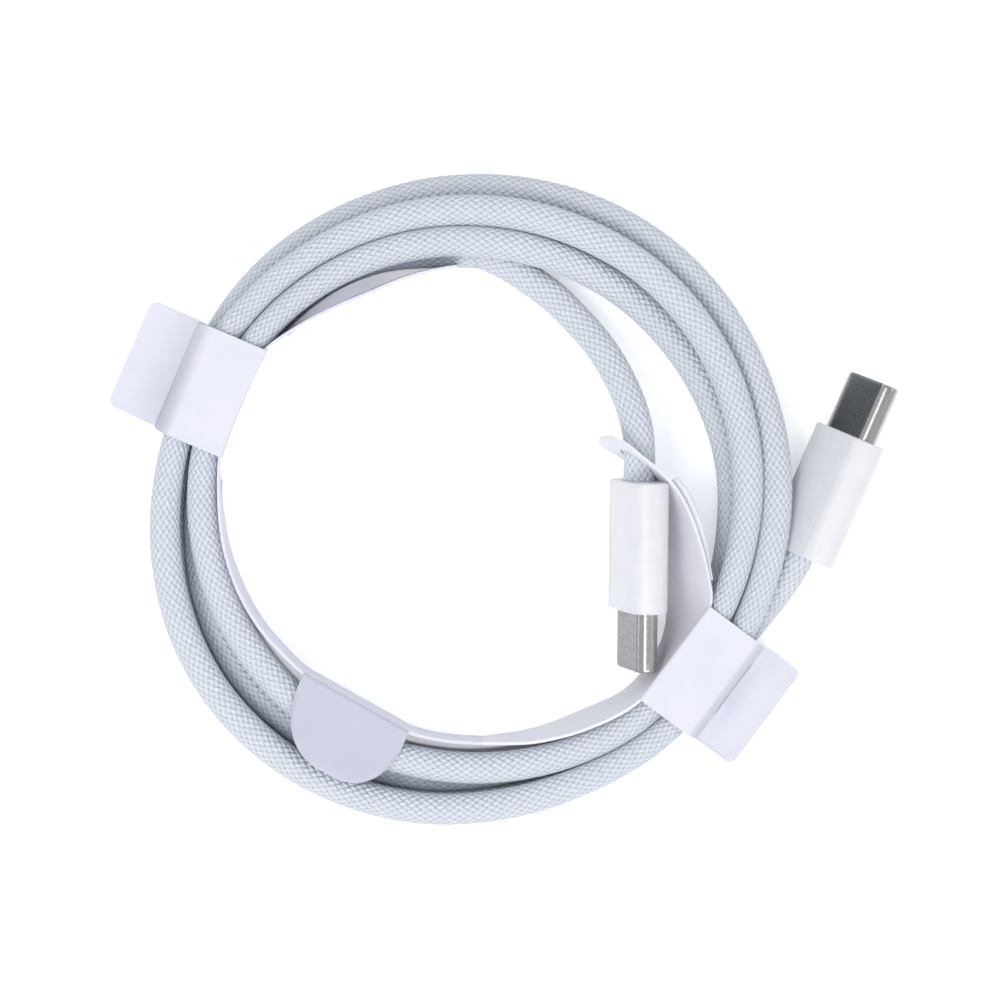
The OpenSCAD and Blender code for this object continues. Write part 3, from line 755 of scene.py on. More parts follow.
@dataclass
class FinishShelf:
    """Every finish of the object, by the record's slot or by a name of its own."""

    made: dict[str, bpy.types.Material] = field(default_factory=dict)

    def fill(self) -> None:
        """Makes the materials."""
        kinds = {
            "housing": PlasticFinish("white_gloss_housing", (0.84, 0.845, 0.885), 0.34, 0.12),
            "steel": SteelFinish(),
            "contact_block": PlasticFinish("black_contact_block", (0.02, 0.02, 0.024), 0.5),
            "contact": MetalFinish("gold_contact", (0.80, 0.58, 0.24), (0.72, 0.50, 0.2)),
            "board": PlasticFinish("green_board", (0.03, 0.16, 0.08), 0.35),
            "board_part": PlasticFinish("brown_board_part", (0.35, 0.22, 0.12), 0.4),
            "chip": PlasticFinish("black_chip", (0.015, 0.015, 0.018), 0.45),
            "inner_mould": PlasticFinish("cream_inner_mould", (0.70, 0.68, 0.60), 0.5),
            "crimp": MetalFinish("copper_crimp", (0.62, 0.33, 0.18), (0.5, 0.25, 0.14), 0.35),
            "wire": PlasticFinish("red_wire", (0.45, 0.03, 0.02), 0.4),
            "collar": PlasticFinish("dark_collar", (0.07, 0.08, 0.10), 0.6),
            "braid": BraidFinish(),
            "card": CardFinish(),
            # Painted shade on the clasps' covers: darker on the slopes, along the creases and at the
            # flange ends.
            "folded_card_painted_shade": CardFinish("folded_card_painted_shade", painted_shade=(0.44, 0.43, 0.54)),
            # Painted light: a lighter copy of the card, for the leaning end and its backing.
            "card_painted_light": CardFinish("card_painted_light", (0.88, 0.885, 0.94), (0.86, 0.865, 0.92)),
            # Painted shade: a darker copy of the card, for the round tongue.
            "tongue_card_painted_shade": CardFinish("tongue_card_painted_shade", (0.60, 0.61, 0.73), (0.585, 0.6, 0.715)),
            # Painted reflection: the flat sides of each nose are darker in colour, by a different
            # amount for each plug.
            "outer_steel_painted_reflection": SteelFinish("outer_nose_steel_painted_reflection", flat=(0.16, 0.165, 0.17)),
            "inner_steel_painted_reflection": SteelFinish("inner_nose_steel_painted_reflection", flat=(0.28, 0.28, 0.29)),
        }
        self.made = {slot: kind.build() for slot, kind in kinds.items()}

    def dress(self, frame: dict) -> None:
        """Gives every carried-over node the finish of its slot."""
        for part in frame["record"]["subparts"]:
            node = frame["nodes"][part["node"]]
            node.data.materials.clear()
            node.data.materials.append(self.made[part["material_slot"]])


# ---------- Stage ----------


@dataclass(frozen=True)
class Softbox:
    """One rectangular lamp that points at the coil."""

    name: str
    place: Point
    size: tuple[float, float]
    power: float
    colour: Colour

    def build(self) -> None:
        """Makes the lamp."""
        data = bpy.data.lights.new(self.name, "AREA")
        data.shape = "RECTANGLE"
        data.size, data.size_y = self.size
        data.energy = self.power
        data.color = self.colour
        lamp = bpy.data.objects.new(self.name, data)
        lamp.location = self.place
        lamp.rotation_mode = "QUATERNION"
        lamp.rotation_quaternion = (-Vector(self.place)).to_track_quat("-Z", "Y")
        lamp.visible_camera = False
        bpy.context.scene.collection.objects.link(lamp)


@dataclass
class Studio:
    """Camera, lamps, world and floor.

    Attributes:
        sizes: Sizes that several pieces share.
        camera_across: How far the camera is beside the coil's axis, in millimetres, as are
            camera_height, frame_width and sensor.
        clip: Nearest and farthest that the camera sees, in metres.
        floor_half: Half the floor's side, in metres.
        floor_drop: How far the floor lies below the object, in millimetres.
        shaded_ring: Inner and outer radius of the floor under the coil, where painted shade darkens
            it.
        ring_blur: Width of that ring's soft edges.
        clasp_room: How much further out it starts at the left clasp.
        clasp_spread: Cosines of the angles from the clasp at which that begins and is complete.
        east_from: Where, towards +X, it also starts further out, by east_share of clasp_room;
            the line along which it does leans by east_lean.
        sky_fade: Heights on the world's sphere between which world_low becomes world_high.
    """

    sizes: Sizes
    camera_across: float = 3.53
    camera_height: float = 320.0
    frame_width: float = 119.05
    sensor: float = 36.0
    clip: tuple[float, float] = (0.01, 10.0)
    floor_half: float = 1.6
    floor_drop: float = 0.05
    floor_tone: Colour = (0.93, 0.93, 0.94)
    floor_glow: float = 0.42
    shaded_tone: Colour = (0.70, 0.68, 0.77)
    shaded_glow: float = 0.02
    shaded_ring: tuple[float, float] = (29.3, 36.1)
    ring_blur: float = 0.5
    clasp_spread: tuple[float, float] = (0.945, 0.972)
    clasp_room: float = 2.1
    east_from: tuple[float, float] = (5.0, 8.0)
    east_share: float = 0.6
    east_lean: float = 0.25
    sky_tone: Colour = (0.96, 0.975, 1.0)
    sky_fade: tuple[float, float] = (0.45, 0.95)
    world_low: float = 0.70
    world_high: float = 0.56
    lamps: tuple[Softbox, ...] = (
        Softbox("front_lamp", (0.05, -0.46, 0.71), (0.70, 0.25), 2.0, (1.0, 0.99, 0.98)),
        Softbox("left_lamp", (-0.32, -0.10, 0.75), (0.70, 0.2), 1.7, (1.0, 0.995, 0.99)),
        Softbox("right_lamp", (0.60, 0.10, 0.50), (0.50, 0.25), 0.4, (0.98, 0.985, 1.0)),
    )

    def build_camera(self) -> None:
        """Puts the camera straight above the coil and makes it the scene's."""
        data = bpy.data.cameras.new("overhead_camera")
        data.sensor_width = self.sensor
        data.lens = self.sensor * self.camera_height / self.frame_width
        data.clip_start, data.clip_end = self.clip
        camera = bpy.data.objects.new("overhead_camera", data)
        camera.location = (self.camera_across * MM, 0, self.camera_height * MM)
        bpy.context.scene.collection.objects.link(camera)
        bpy.context.scene.camera = camera

    def build_light(self) -> None:
        """Makes the lamps, the even world light and the view transform."""
        for lamp in self.lamps:
            lamp.build()
        world = bpy.data.worlds.new("even_world")
        world.use_nodes = True
        tree = world.node_tree
        sky = tree.nodes["Background"]
        sky.inputs["Color"].default_value = (*self.sky_tone, 1.0)
        way = tree.nodes.new("ShaderNodeTexCoord").outputs["Generated"]
        parts = tree.nodes.new("ShaderNodeSeparateXYZ")
        fade = tree.nodes.new("ShaderNodeMapRange")
        for socket, value in zip(fade.inputs[1:], (*self.sky_fade, self.world_low, self.world_high)):
            socket.default_value = value
        tree.links.new(way, parts.inputs[0])
        tree.links.new(parts.outputs[2], fade.inputs[0])
        tree.links.new(fade.outputs[0], sky.inputs["Strength"])
        bpy.context.scene.world = world
        bpy.context.scene.view_settings.view_transform = "Standard"

    def seen_share(self, g: Graph) -> Socket:
        """1 for rays from the camera or from a mirror or glass, else 0."""
        paths = g.node("ShaderNodeLightPath").outputs
        seen = g.maths("MAXIMUM", paths["Is Camera Ray"], paths["Is Glossy Ray"])
        return g.maths("MAXIMUM", seen, paths["Is Transmission Ray"])

    def ring_share(self, g: Graph) -> Socket:
        """1 on the floor under the coil, where hardly any light comes and shade is painted, else 0.
        """
        place = g.place()
        x, y, _ = g.numbers(place)
        reach = g.node("ShaderNodeVectorMath", operation="LENGTH")
        g.feed(reach.inputs[0], place)
        far = reach.outputs["Value"]
        clasp = math.radians(self.sizes.left_clasp_a)
        towards = g.maths("MULTIPLY", x, math.cos(clasp))
        towards = g.maths("ADD", towards, g.maths("MULTIPLY", y, math.sin(clasp)))
        near = g.remap(g.maths("DIVIDE", towards, far), *self.clasp_spread, 0, 1)
        east = g.maths("ADD", x, g.maths("MULTIPLY", y, self.east_lean))
        begin, end = (MM * r for r in self.east_from)
        spare = g.maths("MAXIMUM", near, g.remap(east, begin, end, 0, self.east_share))
        closer = g.maths("SUBTRACT", far, g.maths("MULTIPLY", spare, self.clasp_room * MM))
        low, high = (MM * r for r in self.shaded_ring)
        inside = g.remap(closer, low, low + self.ring_blur * MM, 0, 1)
        beyond = g.remap(far, high, high + self.ring_blur * MM, 1, 0)
        return g.maths("MULTIPLY", inside, beyond)

    def build_floor(self) -> None:
        """Makes the white floor that the cable lies on."""
        g = Graph("white_floor")
        # Painted shade: under the coil the floor's colour darkens and its glow nearly goes out.
        deep = self.ring_share(g)
        glow = g.remap(deep, 0, 1, self.floor_glow, self.shaded_glow)
        g.set(
            Base_Color=g.blend_colour(deep, self.floor_tone, self.shaded_tone),
            Roughness=0.9,
            Emission_Color=(0.94, 0.965, 1.0),
            Emission_Strength=g.maths("MULTIPLY", self.seen_share(g), glow),
            Specular_IOR_Level=0.1,
        )
        s, z = self.floor_half / MM, -self.floor_drop
        corners = np.array([[-s, -s, z], [s, -s, z], [s, s, z], [-s, s, z]])
        floor = add_piece("floor", corners, [[0, 1, 2, 3]], g.material)


# ---------- The cord's route ----------


# Places that the cord passes: turn, lanes outside the inner one, layers above the lower one
LANE_PLACES: tuple[Point, ...] = (
    (0, 1.028, 0), (0.031, 1.014, 0), (0.061, 1, 0), (0.089, 1.056, 0), (0.117, 1.139, 0),
    (0.144, 1.278, 0), (0.172, 1.417, 0), (0.2, 1.528, 0), (0.228, 1.611, 0), (0.256, 1.681, 0),
    (0.283, 1.694, 0), (0.311, 1.611, 0), (0.339, 1.472, 0), (0.367, 1.278, 0), (0.394, 1.083, 0),
    (0.422, 0.944, 0), (0.458, 0.944, 0), (0.492, 1.222, 0), (0.533, 1.347, 0), (0.589, 1.367, 0),
    (0.644, 1.442, 0), (0.7, 1.55, 0), (0.728, 1.592, 0), (0.756, 1.578, 0), (0.783, 1.536, 0),
    (0.811, 1.45, 0.15), (0.839, 1.333, 0.49), (0.867, 1.256, 0.78), (0.894, 1.228, 1.02),
    (0.922, 1.131, 1.21), (0.95, 1.083, 1.06), (0.978, 1.014, 1), (1, 0.972, 1),
    (1.031, 1.097, 1), (1.061, 1.033, 1), (1.089, 1.042, 1), (1.117, 1.111, 1), (1.144, 1.244, 1),
    (1.172, 1.383, 1), (1.2, 1.472, 1), (1.228, 1.542, 1), (1.256, 1.583, 1), (1.283, 1.592, 1),
    (1.311, 1.522, 1), (1.339, 1.411, 1), (1.367, 1.244, 1), (1.394, 1.097, 1), (1.422, 0.961, 1),
    (1.458, 0.833, 1), (1.492, 0.778, 1), (1.533, 0.728, 1), (1.589, 0.672, 1), (1.644, 0.65, 1),
    (1.7, 0.639, 1), (1.756, 0.639, 1), (1.783, 0.583, 1), (1.811, 0.5, 1.01),
    (1.839, 0.431, 1.05), (1.867, 0.319, 1.15), (1.894, 0.236, 1.2), (1.922, 0.172, 1.16),
    (1.95, 0.153, 1.03), (1.978, 0.125, 1), (2, 0.069, 1), (2.031, 0.256, 1), (2.061, 0.117, 1),
    (2.089, 0.042, 1), (2.117, -0.028, 1), (2.144, -0.083, 1), (2.2, -0.111, 1),
    (2.256, -0.139, 1), (2.283, -0.153, 1), (2.311, -0.139, 1), (2.339, -0.125, 1),
    (2.367, -0.097, 1), (2.394, -0.069, 1), (2.422, -0.036, 1), (2.458, -0.042, 1),
    (2.492, -0.083, 1), (2.533, -0.144, 1), (2.589, -0.269, 1), (2.617, -0.317, 1),
    (2.644, -0.356, 0.98), (2.672, -0.378, 0.85), (2.7, -0.356, 0.59), (2.728, -0.311, 0.34),
    (2.756, -0.294, 0.17), (2.783, -0.283, 0.07), (2.811, -0.25, 0.01), (2.839, -0.178, 0),
    (2.867, -0.111, 0), (2.894, -0.119, 0), (2.922, -0.139, 0), (2.95, -0.083, 0), (2.978, 0, 0),
    (3, 0.042, 0), (3.031, 0.083, 0), (3.061, 0.056, 0), (3.089, 0.028, 0), (3.117, 0.111, 0),
    (3.144, 0.25, 0), (3.172, 0.389, 0), (3.2, 0.5, 0), (3.228, 0.583, 0), (3.256, 0.628, 0),
    (3.283, 0.661, 0), (3.311, 0.583, 0), (3.339, 0.444, 0), (3.367, 0.25, 0), (3.394, 0.111, 0),
    (3.422, 0.014, 0), (3.458, 0, 0), (3.492, -0.028, 0), (3.533, -0.111, 0), (3.561, -0.167, 0),
    (3.589, -0.278, 0), (3.625, -0.569, 0), (3.66, -0.806, 0),
)


@dataclass(frozen=True)
class Press:
    """A clasp that presses the strands narrower near it: angle and half width."""

    angle: float
    half: float


@dataclass
class CordRoute:
    """The middle of the cord, from the outer plug through the coil to the inner plug.

    Attributes:
        sizes: Sizes that several pieces share.
        first_angle: Direction in which the coil starts, in degrees.
        turns: How many turns it has.
        rings_per_turn: Points of the route in one turn.
        round_reach: Part of a turn over which the stretches between places are rounded.
        nudge: Part of a turn over which the coil's direction is taken.
        presses: Where the clasps press the strands.
        squeeze: By what share they are narrower there.
        tail_width: Share of its width that the outer tail has where it joins the coil.
        behind_plug: Cord diameters from the outer plug to the route's next point.
        past_coil: Cord diameters that the inner tail runs straight after the coil.
        outer_tail: Points listed between the outer plug and the coil.
        inner_tail: Points listed between the coil and the inner plug.
    """

    sizes: Sizes
    first_angle: float = 322.0
    turns: float = 3.625
    rings_per_turn: int = 24
    round_reach: float = 0.012
    nudge: float = 0.002
    presses: tuple[Press, ...] = (Press(142, 60), Press(322, 50))
    squeeze: float = 0.17
    tail_width: float = 0.95
    behind_plug: float = 0.2
    past_coil: float = 0.3
    outer_tail: tuple[Point, ...] = ((37.0, -9.4, 3.95), (34.95, -12.5, 2.7))
    inner_tail: tuple[Point, ...] = (
        (4.4, 27.75, 2.2),
        (7.1, 26.0, 2.25),
        (9.9, 23.9, 2.55),
        (12.4, 21.4, 3.1),
        (14.6, 18.9, 3.8),
        (16.2, 16.6, 4.5),
        (17.6, 14.0, 5.2),
        (18.7, 11.4, 5.8),
        (19.5, 8.6, 6.3),
    )

    def rounded(self, column: int, turn: float) -> float:
        """A column of the places at a turn, rounded where its stretches meet."""
        at = turn + self.round_reach * np.arange(-2, 3)
        turns = [p[0] for p in LANE_PLACES]
        values = [p[column] for p in LANE_PLACES]
        return float(np.dot([1, 2, 3, 2, 1], np.interp(at, turns, values)) / 9)

    def width_share(self, turn: float) -> float:
        """Width of the cord at a turn, as a share of its free width."""
        angle, press = self.first_angle - 360 * turn, 0.0
        for p in self.presses:
            away = abs(angle - p.angle) % 360
            press = max(press, hump(min(away, 360 - away), 0, p.half))
        return 1 - self.squeeze * press

    def coil_point(self, turn: float) -> np.ndarray:
        """Middle of the cord at a number of turns from the right clasp."""
        s = self.sizes
        radius = s.inner_lane_r + s.lane_pitch * self.rounded(1, turn)
        height = s.low_z + s.layer_pitch * self.rounded(2, turn)
        return np.append(polar(radius, self.first_angle - 360 * turn), height)

    def coil_way(self, turn: float) -> np.ndarray:
        """Direction of the coil's middle at a turn."""
        return unit(self.coil_point(turn + self.nudge) - self.coil_point(turn - self.nudge))

    def points(self) -> np.ndarray:
        """The route's points, each with the cord's width as its fourth number."""
        d, recess = self.sizes.cord_d, self.sizes.collar_recess
        outer, inner = self.sizes.outer_pose(), self.sizes.inner_pose()
        rings = round(self.turns * self.rings_per_turn)
        turns = [i / self.rings_per_turn for i in range(rings + 1)]
        wound = [self.coil_point(t) for t in turns]
        end_way = self.coil_way(self.turns)
        finish = wound[-1] + d * end_way
        before = [
            outer.at() + recess * outer.way(),
            outer.at() - self.behind_plug * d * outer.way(),
            *map(np.array, self.outer_tail),
            wound[0] - d * self.coil_way(0),
        ]
        after = [
            finish,
            finish + self.past_coil * d * end_way,
            *map(np.array, self.inner_tail),
            inner.at() - d * inner.way(),
            inner.at() + recess * inner.way(),
        ]
        first, last = self.width_share(0), self.width_share(self.turns)
        widths = [1, 1, 1, self.tail_width, first] + [self.width_share(t) for t in turns]
        widths += [last, last] + [1] * (len(after) - 2)
        return np.column_stack([np.array(before + wound + after), widths])

    def line(self, step: float) -> np.ndarray:
        """The smooth route in even steps, with the cord's width as its fourth number."""
        return even_steps(smooth_line(self.points(), 16), step)


@dataclass
class BraidedCord:
    """The cord as one tube whose surface carries the crossing yarns.

    Attributes:
        sizes: Sizes that several pieces share.
        name: The piece's name.
        pitch: Length of one cell of the braid along the cord.
        cells: Cells round the cord.
        samples: Rings of the tube per cell, and points of a ring per cell.
        relief: Depth between the yarns.
        crown: How far the yarns stand proud of the cord's plain radius.
        yarn_swell: How much single yarns vary in height.
        swell_rates: How fast that changes along the yarns of either direction.
        shoulder: How square the yarns are across; 1 is a ridge.
    """

    sizes: Sizes
    name: str = "braided_cord"
    pitch: float = 1.10
    cells: int = 14
    samples: int = 4
    relief: float = 0.12
    crown: float = 0.045
    yarn_swell: float = 0.012
    swell_rates: tuple[float, float] = (1.7, 2.3)
    shoulder: float = 2.5

    def frames(self, line: np.ndarray) -> tuple[np.ndarray, np.ndarray]:
        """Side and up directions along a line that don't twist about it."""
        way = unit(np.gradient(line, axis=0))
        side = np.zeros_like(line)
        side[0] = unit(np.cross([0.0, 0.0, 1.0], way[0]))
        for i in range(1, len(line)):
            carried = side[i - 1] - way[i] * np.dot(side[i - 1], way[i])
            side[i] = unit(carried)
        return side, np.cross(way, side)

    def height(self, run: np.ndarray, round_: np.ndarray) -> np.ndarray:
        """How full the braid stands at places in cells along and round the cord, 0 to 1."""
        p, q = run + round_, run - round_
        edge_p = 2 * np.abs(p - np.round(p))
        edge_q = 2 * np.abs(q - np.round(q))
        return 1 - 0.5 * ((1 - edge_p) ** self.shoulder + (1 - edge_q) ** self.shoulder)

    def build(self, route: CordRoute, finish: bpy.types.Material) -> bpy.types.Object:
        """Makes the tube along a route.

        Args:
            route: The cord's route.
            finish: The braid's material.

        Returns:
            The cord, riding on its body.
        """
        places = route.line(self.pitch / self.samples)
        line, widths = places[:, :3], places[:, 3]
        sides = self.cells * self.samples
        side, up = self.frames(line)
        run = np.arange(len(line))[:, None] / self.samples
        turn = np.arange(sides)[None, :] / self.samples
        one, other = self.swell_rates
        swell = self.yarn_swell * np.sin(one * (run + turn)) * np.cos(other * (run - turn))
        radius = self.sizes.cord_d / 2 + self.crown + swell
        radius = radius - self.relief * (1 - self.height(run, turn))
        angle = 2 * np.pi * np.arange(sides) / sides
        spokes = radius[..., None] * (
            np.cos(angle)[None, :, None] * side[:, None, :]
            + np.sin(angle)[None, :, None] * up[:, None, :]
        )
        level = unit(np.cross([0.0, 0.0, 1.0], np.gradient(line, axis=0)))
        over = np.einsum("ikc,ic->ik", spokes, level)
        spokes -= ((1 - widths)[:, None] * over)[..., None] * level[:, None, :]
        cord = self.mesh(line[:, None, :] + spokes, finish)
        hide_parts("outer_tail", "coil", "inner_tail")
        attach(cord, ROOT_BODY)
        return cord

    def mesh(self, rings: np.ndarray, finish: bpy.types.Material) -> bpy.types.Object:
        """Makes the tube's mesh, with its place in the braid as UV."""
        count, sides = rings.shape[:2]
        i, k = np.meshgrid(np.arange(count - 1), np.arange(sides), indexing="ij")
        nxt = (k + 1) % sides
        quads = np.stack(
            [i * sides + k, i * sides + nxt, (i + 1) * sides + nxt, (i + 1) * sides + k], -1
        ).reshape(-1, 4)
        far = (count - 1) * sides
        caps = [list(range(sides - 1, -1, -1)), [far + s for s in range(sides)]]
        mesh = bpy.data.meshes.new(self.name)
        mesh.from_pydata((rings.reshape(-1, 3) * MM).tolist(), [], quads.tolist() + caps)
        layer = mesh.uv_layers.new(name="braid")
        run = np.stack([i, i, i + 1, i + 1], -1)
        turn = np.stack([k, k + 1, k + 1, k], -1)
        place = np.stack([run, turn], -1).reshape(-1, 2) / self.samples
        corners = np.zeros((len(mesh.loops), 2))
        corners[: len(place)] = place
        layer.data.foreach_set("uv", corners.ravel())
        mesh.shade_smooth()
        mesh.materials.append(finish)
        cord = bpy.data.objects.new(self.name, mesh)
        bpy.context.scene.collection.objects.link(cord)
        return cord

    def declare(self, route: CordRoute) -> None:
        """Args:
            route: The route that it was made along.
        """
        line = route.line(self.pitch / self.samples)[:, :3]


# ---------- The plugs ----------


def stadium_ring(width: float, thickness: float, count: int) -> np.ndarray:
    """Points round a stadium in the YZ plane.

    Args:
        width: Its whole width, along Y.
        thickness: Its whole thickness, along Z.
        count: How many points, a multiple of four.

    Returns:
        The points, count by 2.
    """
    r, straight = thickness / 2, max(width - thickness, 0.0) / 2
    flat = count // 4
    arc = count // 2 - flat
    out = []
    for turn in (0, 1):
        sign = 1 - 2 * turn
        for k in range(arc):
            a = math.pi * (k / arc - 0.5)
            out.append((sign * (straight + r * math.cos(a)), sign * r * math.sin(a)))
        for k in range(flat):
            out.append((sign * (straight - 2 * straight * k / flat), sign * r))
    return np.array(out)


class PlugSide(Enum):
    """The two plugs, by the start of their nodes' names."""

    OUTER = "outer_plug"
    INNER = "inner_plug"


@dataclass
class Plug:
    """Housing and steel nose of one plug, rounded more finely than the solids.

    Attributes:
        sizes: Sizes that several pieces share.
        side: Which plug it is.
        pose: Where it lies.
        count: Points round each ring.
        edge_r: Rounding of the housing's ends.
        break_edge: Bevel of the holes' edges.
        hole_edge: Depth at which the rear hole's bevel ends.
        hole_depth: How deep the rear hole is.
        mouth_play: Room round the shell in the housing's front opening.
        lip: Length and depth of the rounding at the nose's tip.
        seam: Depth of the lines where the flat sides meet the round ones.
        sharp: Edges that turn more than this many degrees stay sharp.
    """

    sizes: Sizes
    side: PlugSide
    pose: PlugPose
    count: int = 96
    edge_r: float = 0.28
    break_edge: float = 0.06
    hole_edge: float = 0.04
    hole_depth: float = 1.2
    mouth_play: float = 0.1
    lip: tuple[float, float] = (0.42, 0.2)
    seam: float = 0.08
    sharp: float = 35.0

    def rings(self, profile: Sequence[tuple[float, float, float]]) -> np.ndarray:
        """Stadium rings, each at x with a width and a thickness."""
        made = []
        for x, width, thickness in profile:
            ring = stadium_ring(width, thickness, self.count)
            if width - thickness > 1:
                at = [0, self.count // 4, self.count // 2, 3 * self.count // 4]
                ring[at, 1] *= 1 - 2 * self.seam / thickness
            made.append(np.column_stack([np.full(len(ring), x), ring]))
        return np.vstack(made)

    def housing_profile(self) -> list[tuple[float, float, float]]:
        """Outer skin of the housing, from its rear hole to its front opening."""
        s, r = self.sizes, self.edge_r
        hole = s.cord_d + 2 * s.cord_play
        rows = [(x, hole, hole) for x in (self.hole_depth, s.collar_recess, self.hole_edge)]
        rows.append((0.0, hole + 2 * self.break_edge, hole + 2 * self.break_edge))
        for a in quarter_turn():
            inset = r * (1 - math.sin(a))
            rows.append((r * (1 - math.cos(a)), s.boot_w - 2 * inset, s.boot_t - 2 * inset))
        for a in quarter_turn():
            inset = r * (1 - math.cos(a))
            x = s.boot_len - r + r * math.sin(a)
            rows.append((x, s.boot_w - 2 * inset, s.boot_t - 2 * inset))
        play = self.mouth_play
        mouth_w, mouth_t = s.shell_w + play, s.shell_t + play
        rows.append((s.boot_len, mouth_w + play, mouth_t + play))
        rows.append((s.boot_len - self.break_edge, mouth_w, mouth_t))
        rows.append((s.boot_len - s.front_wall, mouth_w, mouth_t))
        return rows

    def nose_profile(self) -> list[tuple[float, float, float]]:
        """The steel nose, out over its rounded rim and back inside."""
        s, (length, depth) = self.sizes, self.lip
        tip = s.boot_len + s.shell_out
        rows = [(s.boot_len - s.shell_in, s.shell_w, s.shell_t)]
        rows += [(s.boot_len + s.shell_out * k / 4, s.shell_w, s.shell_t) for k in range(4)]
        for a in quarter_turn():
            inset = depth * (1 - math.cos(a))
            x = tip - length + length * math.sin(a)
            rows.append((x, s.shell_w - 2 * inset, s.shell_t - 2 * inset))
        bore = s.shell_w - 2 * s.shell_wall, s.shell_t - 2 * s.shell_wall
        rows += [(tip - self.break_edge, *bore), (s.boot_len - s.shell_in, *bore)]
        return rows

    def loft(self, part: str, rows: list, finish: bpy.types.Material) -> bpy.types.Object:
        """Makes one piece from its profile, closed from its last ring to its first."""
        points = self.pose.carry(self.rings(rows))
        faces = loft_faces(len(rows), self.count)
        last = (len(rows) - 1) * self.count
        for k in range(self.count):
            nxt = (k + 1) % self.count
            faces.append([last + k, last + nxt, nxt, k])
        return add_piece(f"{self.side.value}_{part}", points, faces, finish, self.sharp)

    def mark_flats(self, nose: bpy.types.Object) -> None:
        """Marks the flat sides in a UV map, where the steel's colour is darker as a painted
        reflection.
        """
        across = self.pose.matrix()[:, 1]
        layer = nose.data.uv_layers.new(name="side")
        reach = (self.sizes.shell_w - self.sizes.shell_t) / 2 * MM
        for face in nose.data.polygons:
            middle = np.array(face.center) - self.pose.at() * MM
            flat = float(abs(np.dot(middle, across)) < reach)
            for loop in face.loop_indices:
                layer.data[loop].uv = (flat, 0.0)

    def build(self, finishes: dict[str, bpy.types.Material]) -> list[bpy.types.Object]:
        """Makes the housing and the nose, and returns them."""
        prefix = self.side.value
        housing = self.loft("housing", self.housing_profile(), finishes["housing"])
        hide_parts(f"{prefix}_boot")
        metal = finishes["outer_steel_painted_reflection" if self.side is PlugSide.OUTER else "inner_steel_painted_reflection"]
        nose = self.loft("nose", self.nose_profile(), metal)
        self.mark_flats(nose)
        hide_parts(f"{prefix}_shell")
        for piece in (housing, nose):
            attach(piece, ROOT_BODY)
        return [housing, nose]


# ---------- The card wrap ----------


def rounded_corner(a: np.ndarray, b: np.ndarray, c: np.ndarray, radius: float, n: int) -> list:
    """Arc of n points that rounds the corner b between a and c."""
    before, after = unit(a - b), unit(c - b)
    half = math.acos(float(np.clip(np.dot(before, after), -1, 1))) / 2
    reach = radius / math.tan(half)
    centre = b + unit(before + after) * radius / math.sin(half)
    first, last = b + before * reach - centre, b + after * reach - centre
    swing = math.pi - 2 * half
    out = []
    for t in np.arange(n) / (n - 1):
        spoke = math.sin((1 - t) * swing) * first + math.sin(t * swing) * last
        out.append(centre + spoke / math.sin(swing))
    return out


def fold_line(
    corners: Sequence[np.ndarray], radii: Sequence[float], counts: Sequence[int], arc: int
) -> np.ndarray:
    """A line with rounded corners and evenly spread points between them.

    Args:
        corners: The line's corners, ends included.
        radii: Rounding of each inner corner.
        counts: Points on each straight run.
        arc: Points on each rounded corner.

    Returns:
        The points along the line.
    """
    out: list = []
    start = corners[0]
    for i, count in enumerate(counts):
        rounded = None
        if i < len(radii):
            rounded = rounded_corner(corners[i], corners[i + 1], corners[i + 2], radii[i], arc)
        stop = rounded[0] if rounded else corners[i + 1]
        first = 0 if i == 0 else 1
        out += [start + (stop - start) * k / count for k in range(first, count)]
        if rounded:
            out += rounded
            start = rounded[-1]
        else:
            out.append(stop)
    return np.array(out)


class ClaspSide(Enum):
    """The two clasps."""

    LEFT = "left"
    RIGHT = "right"


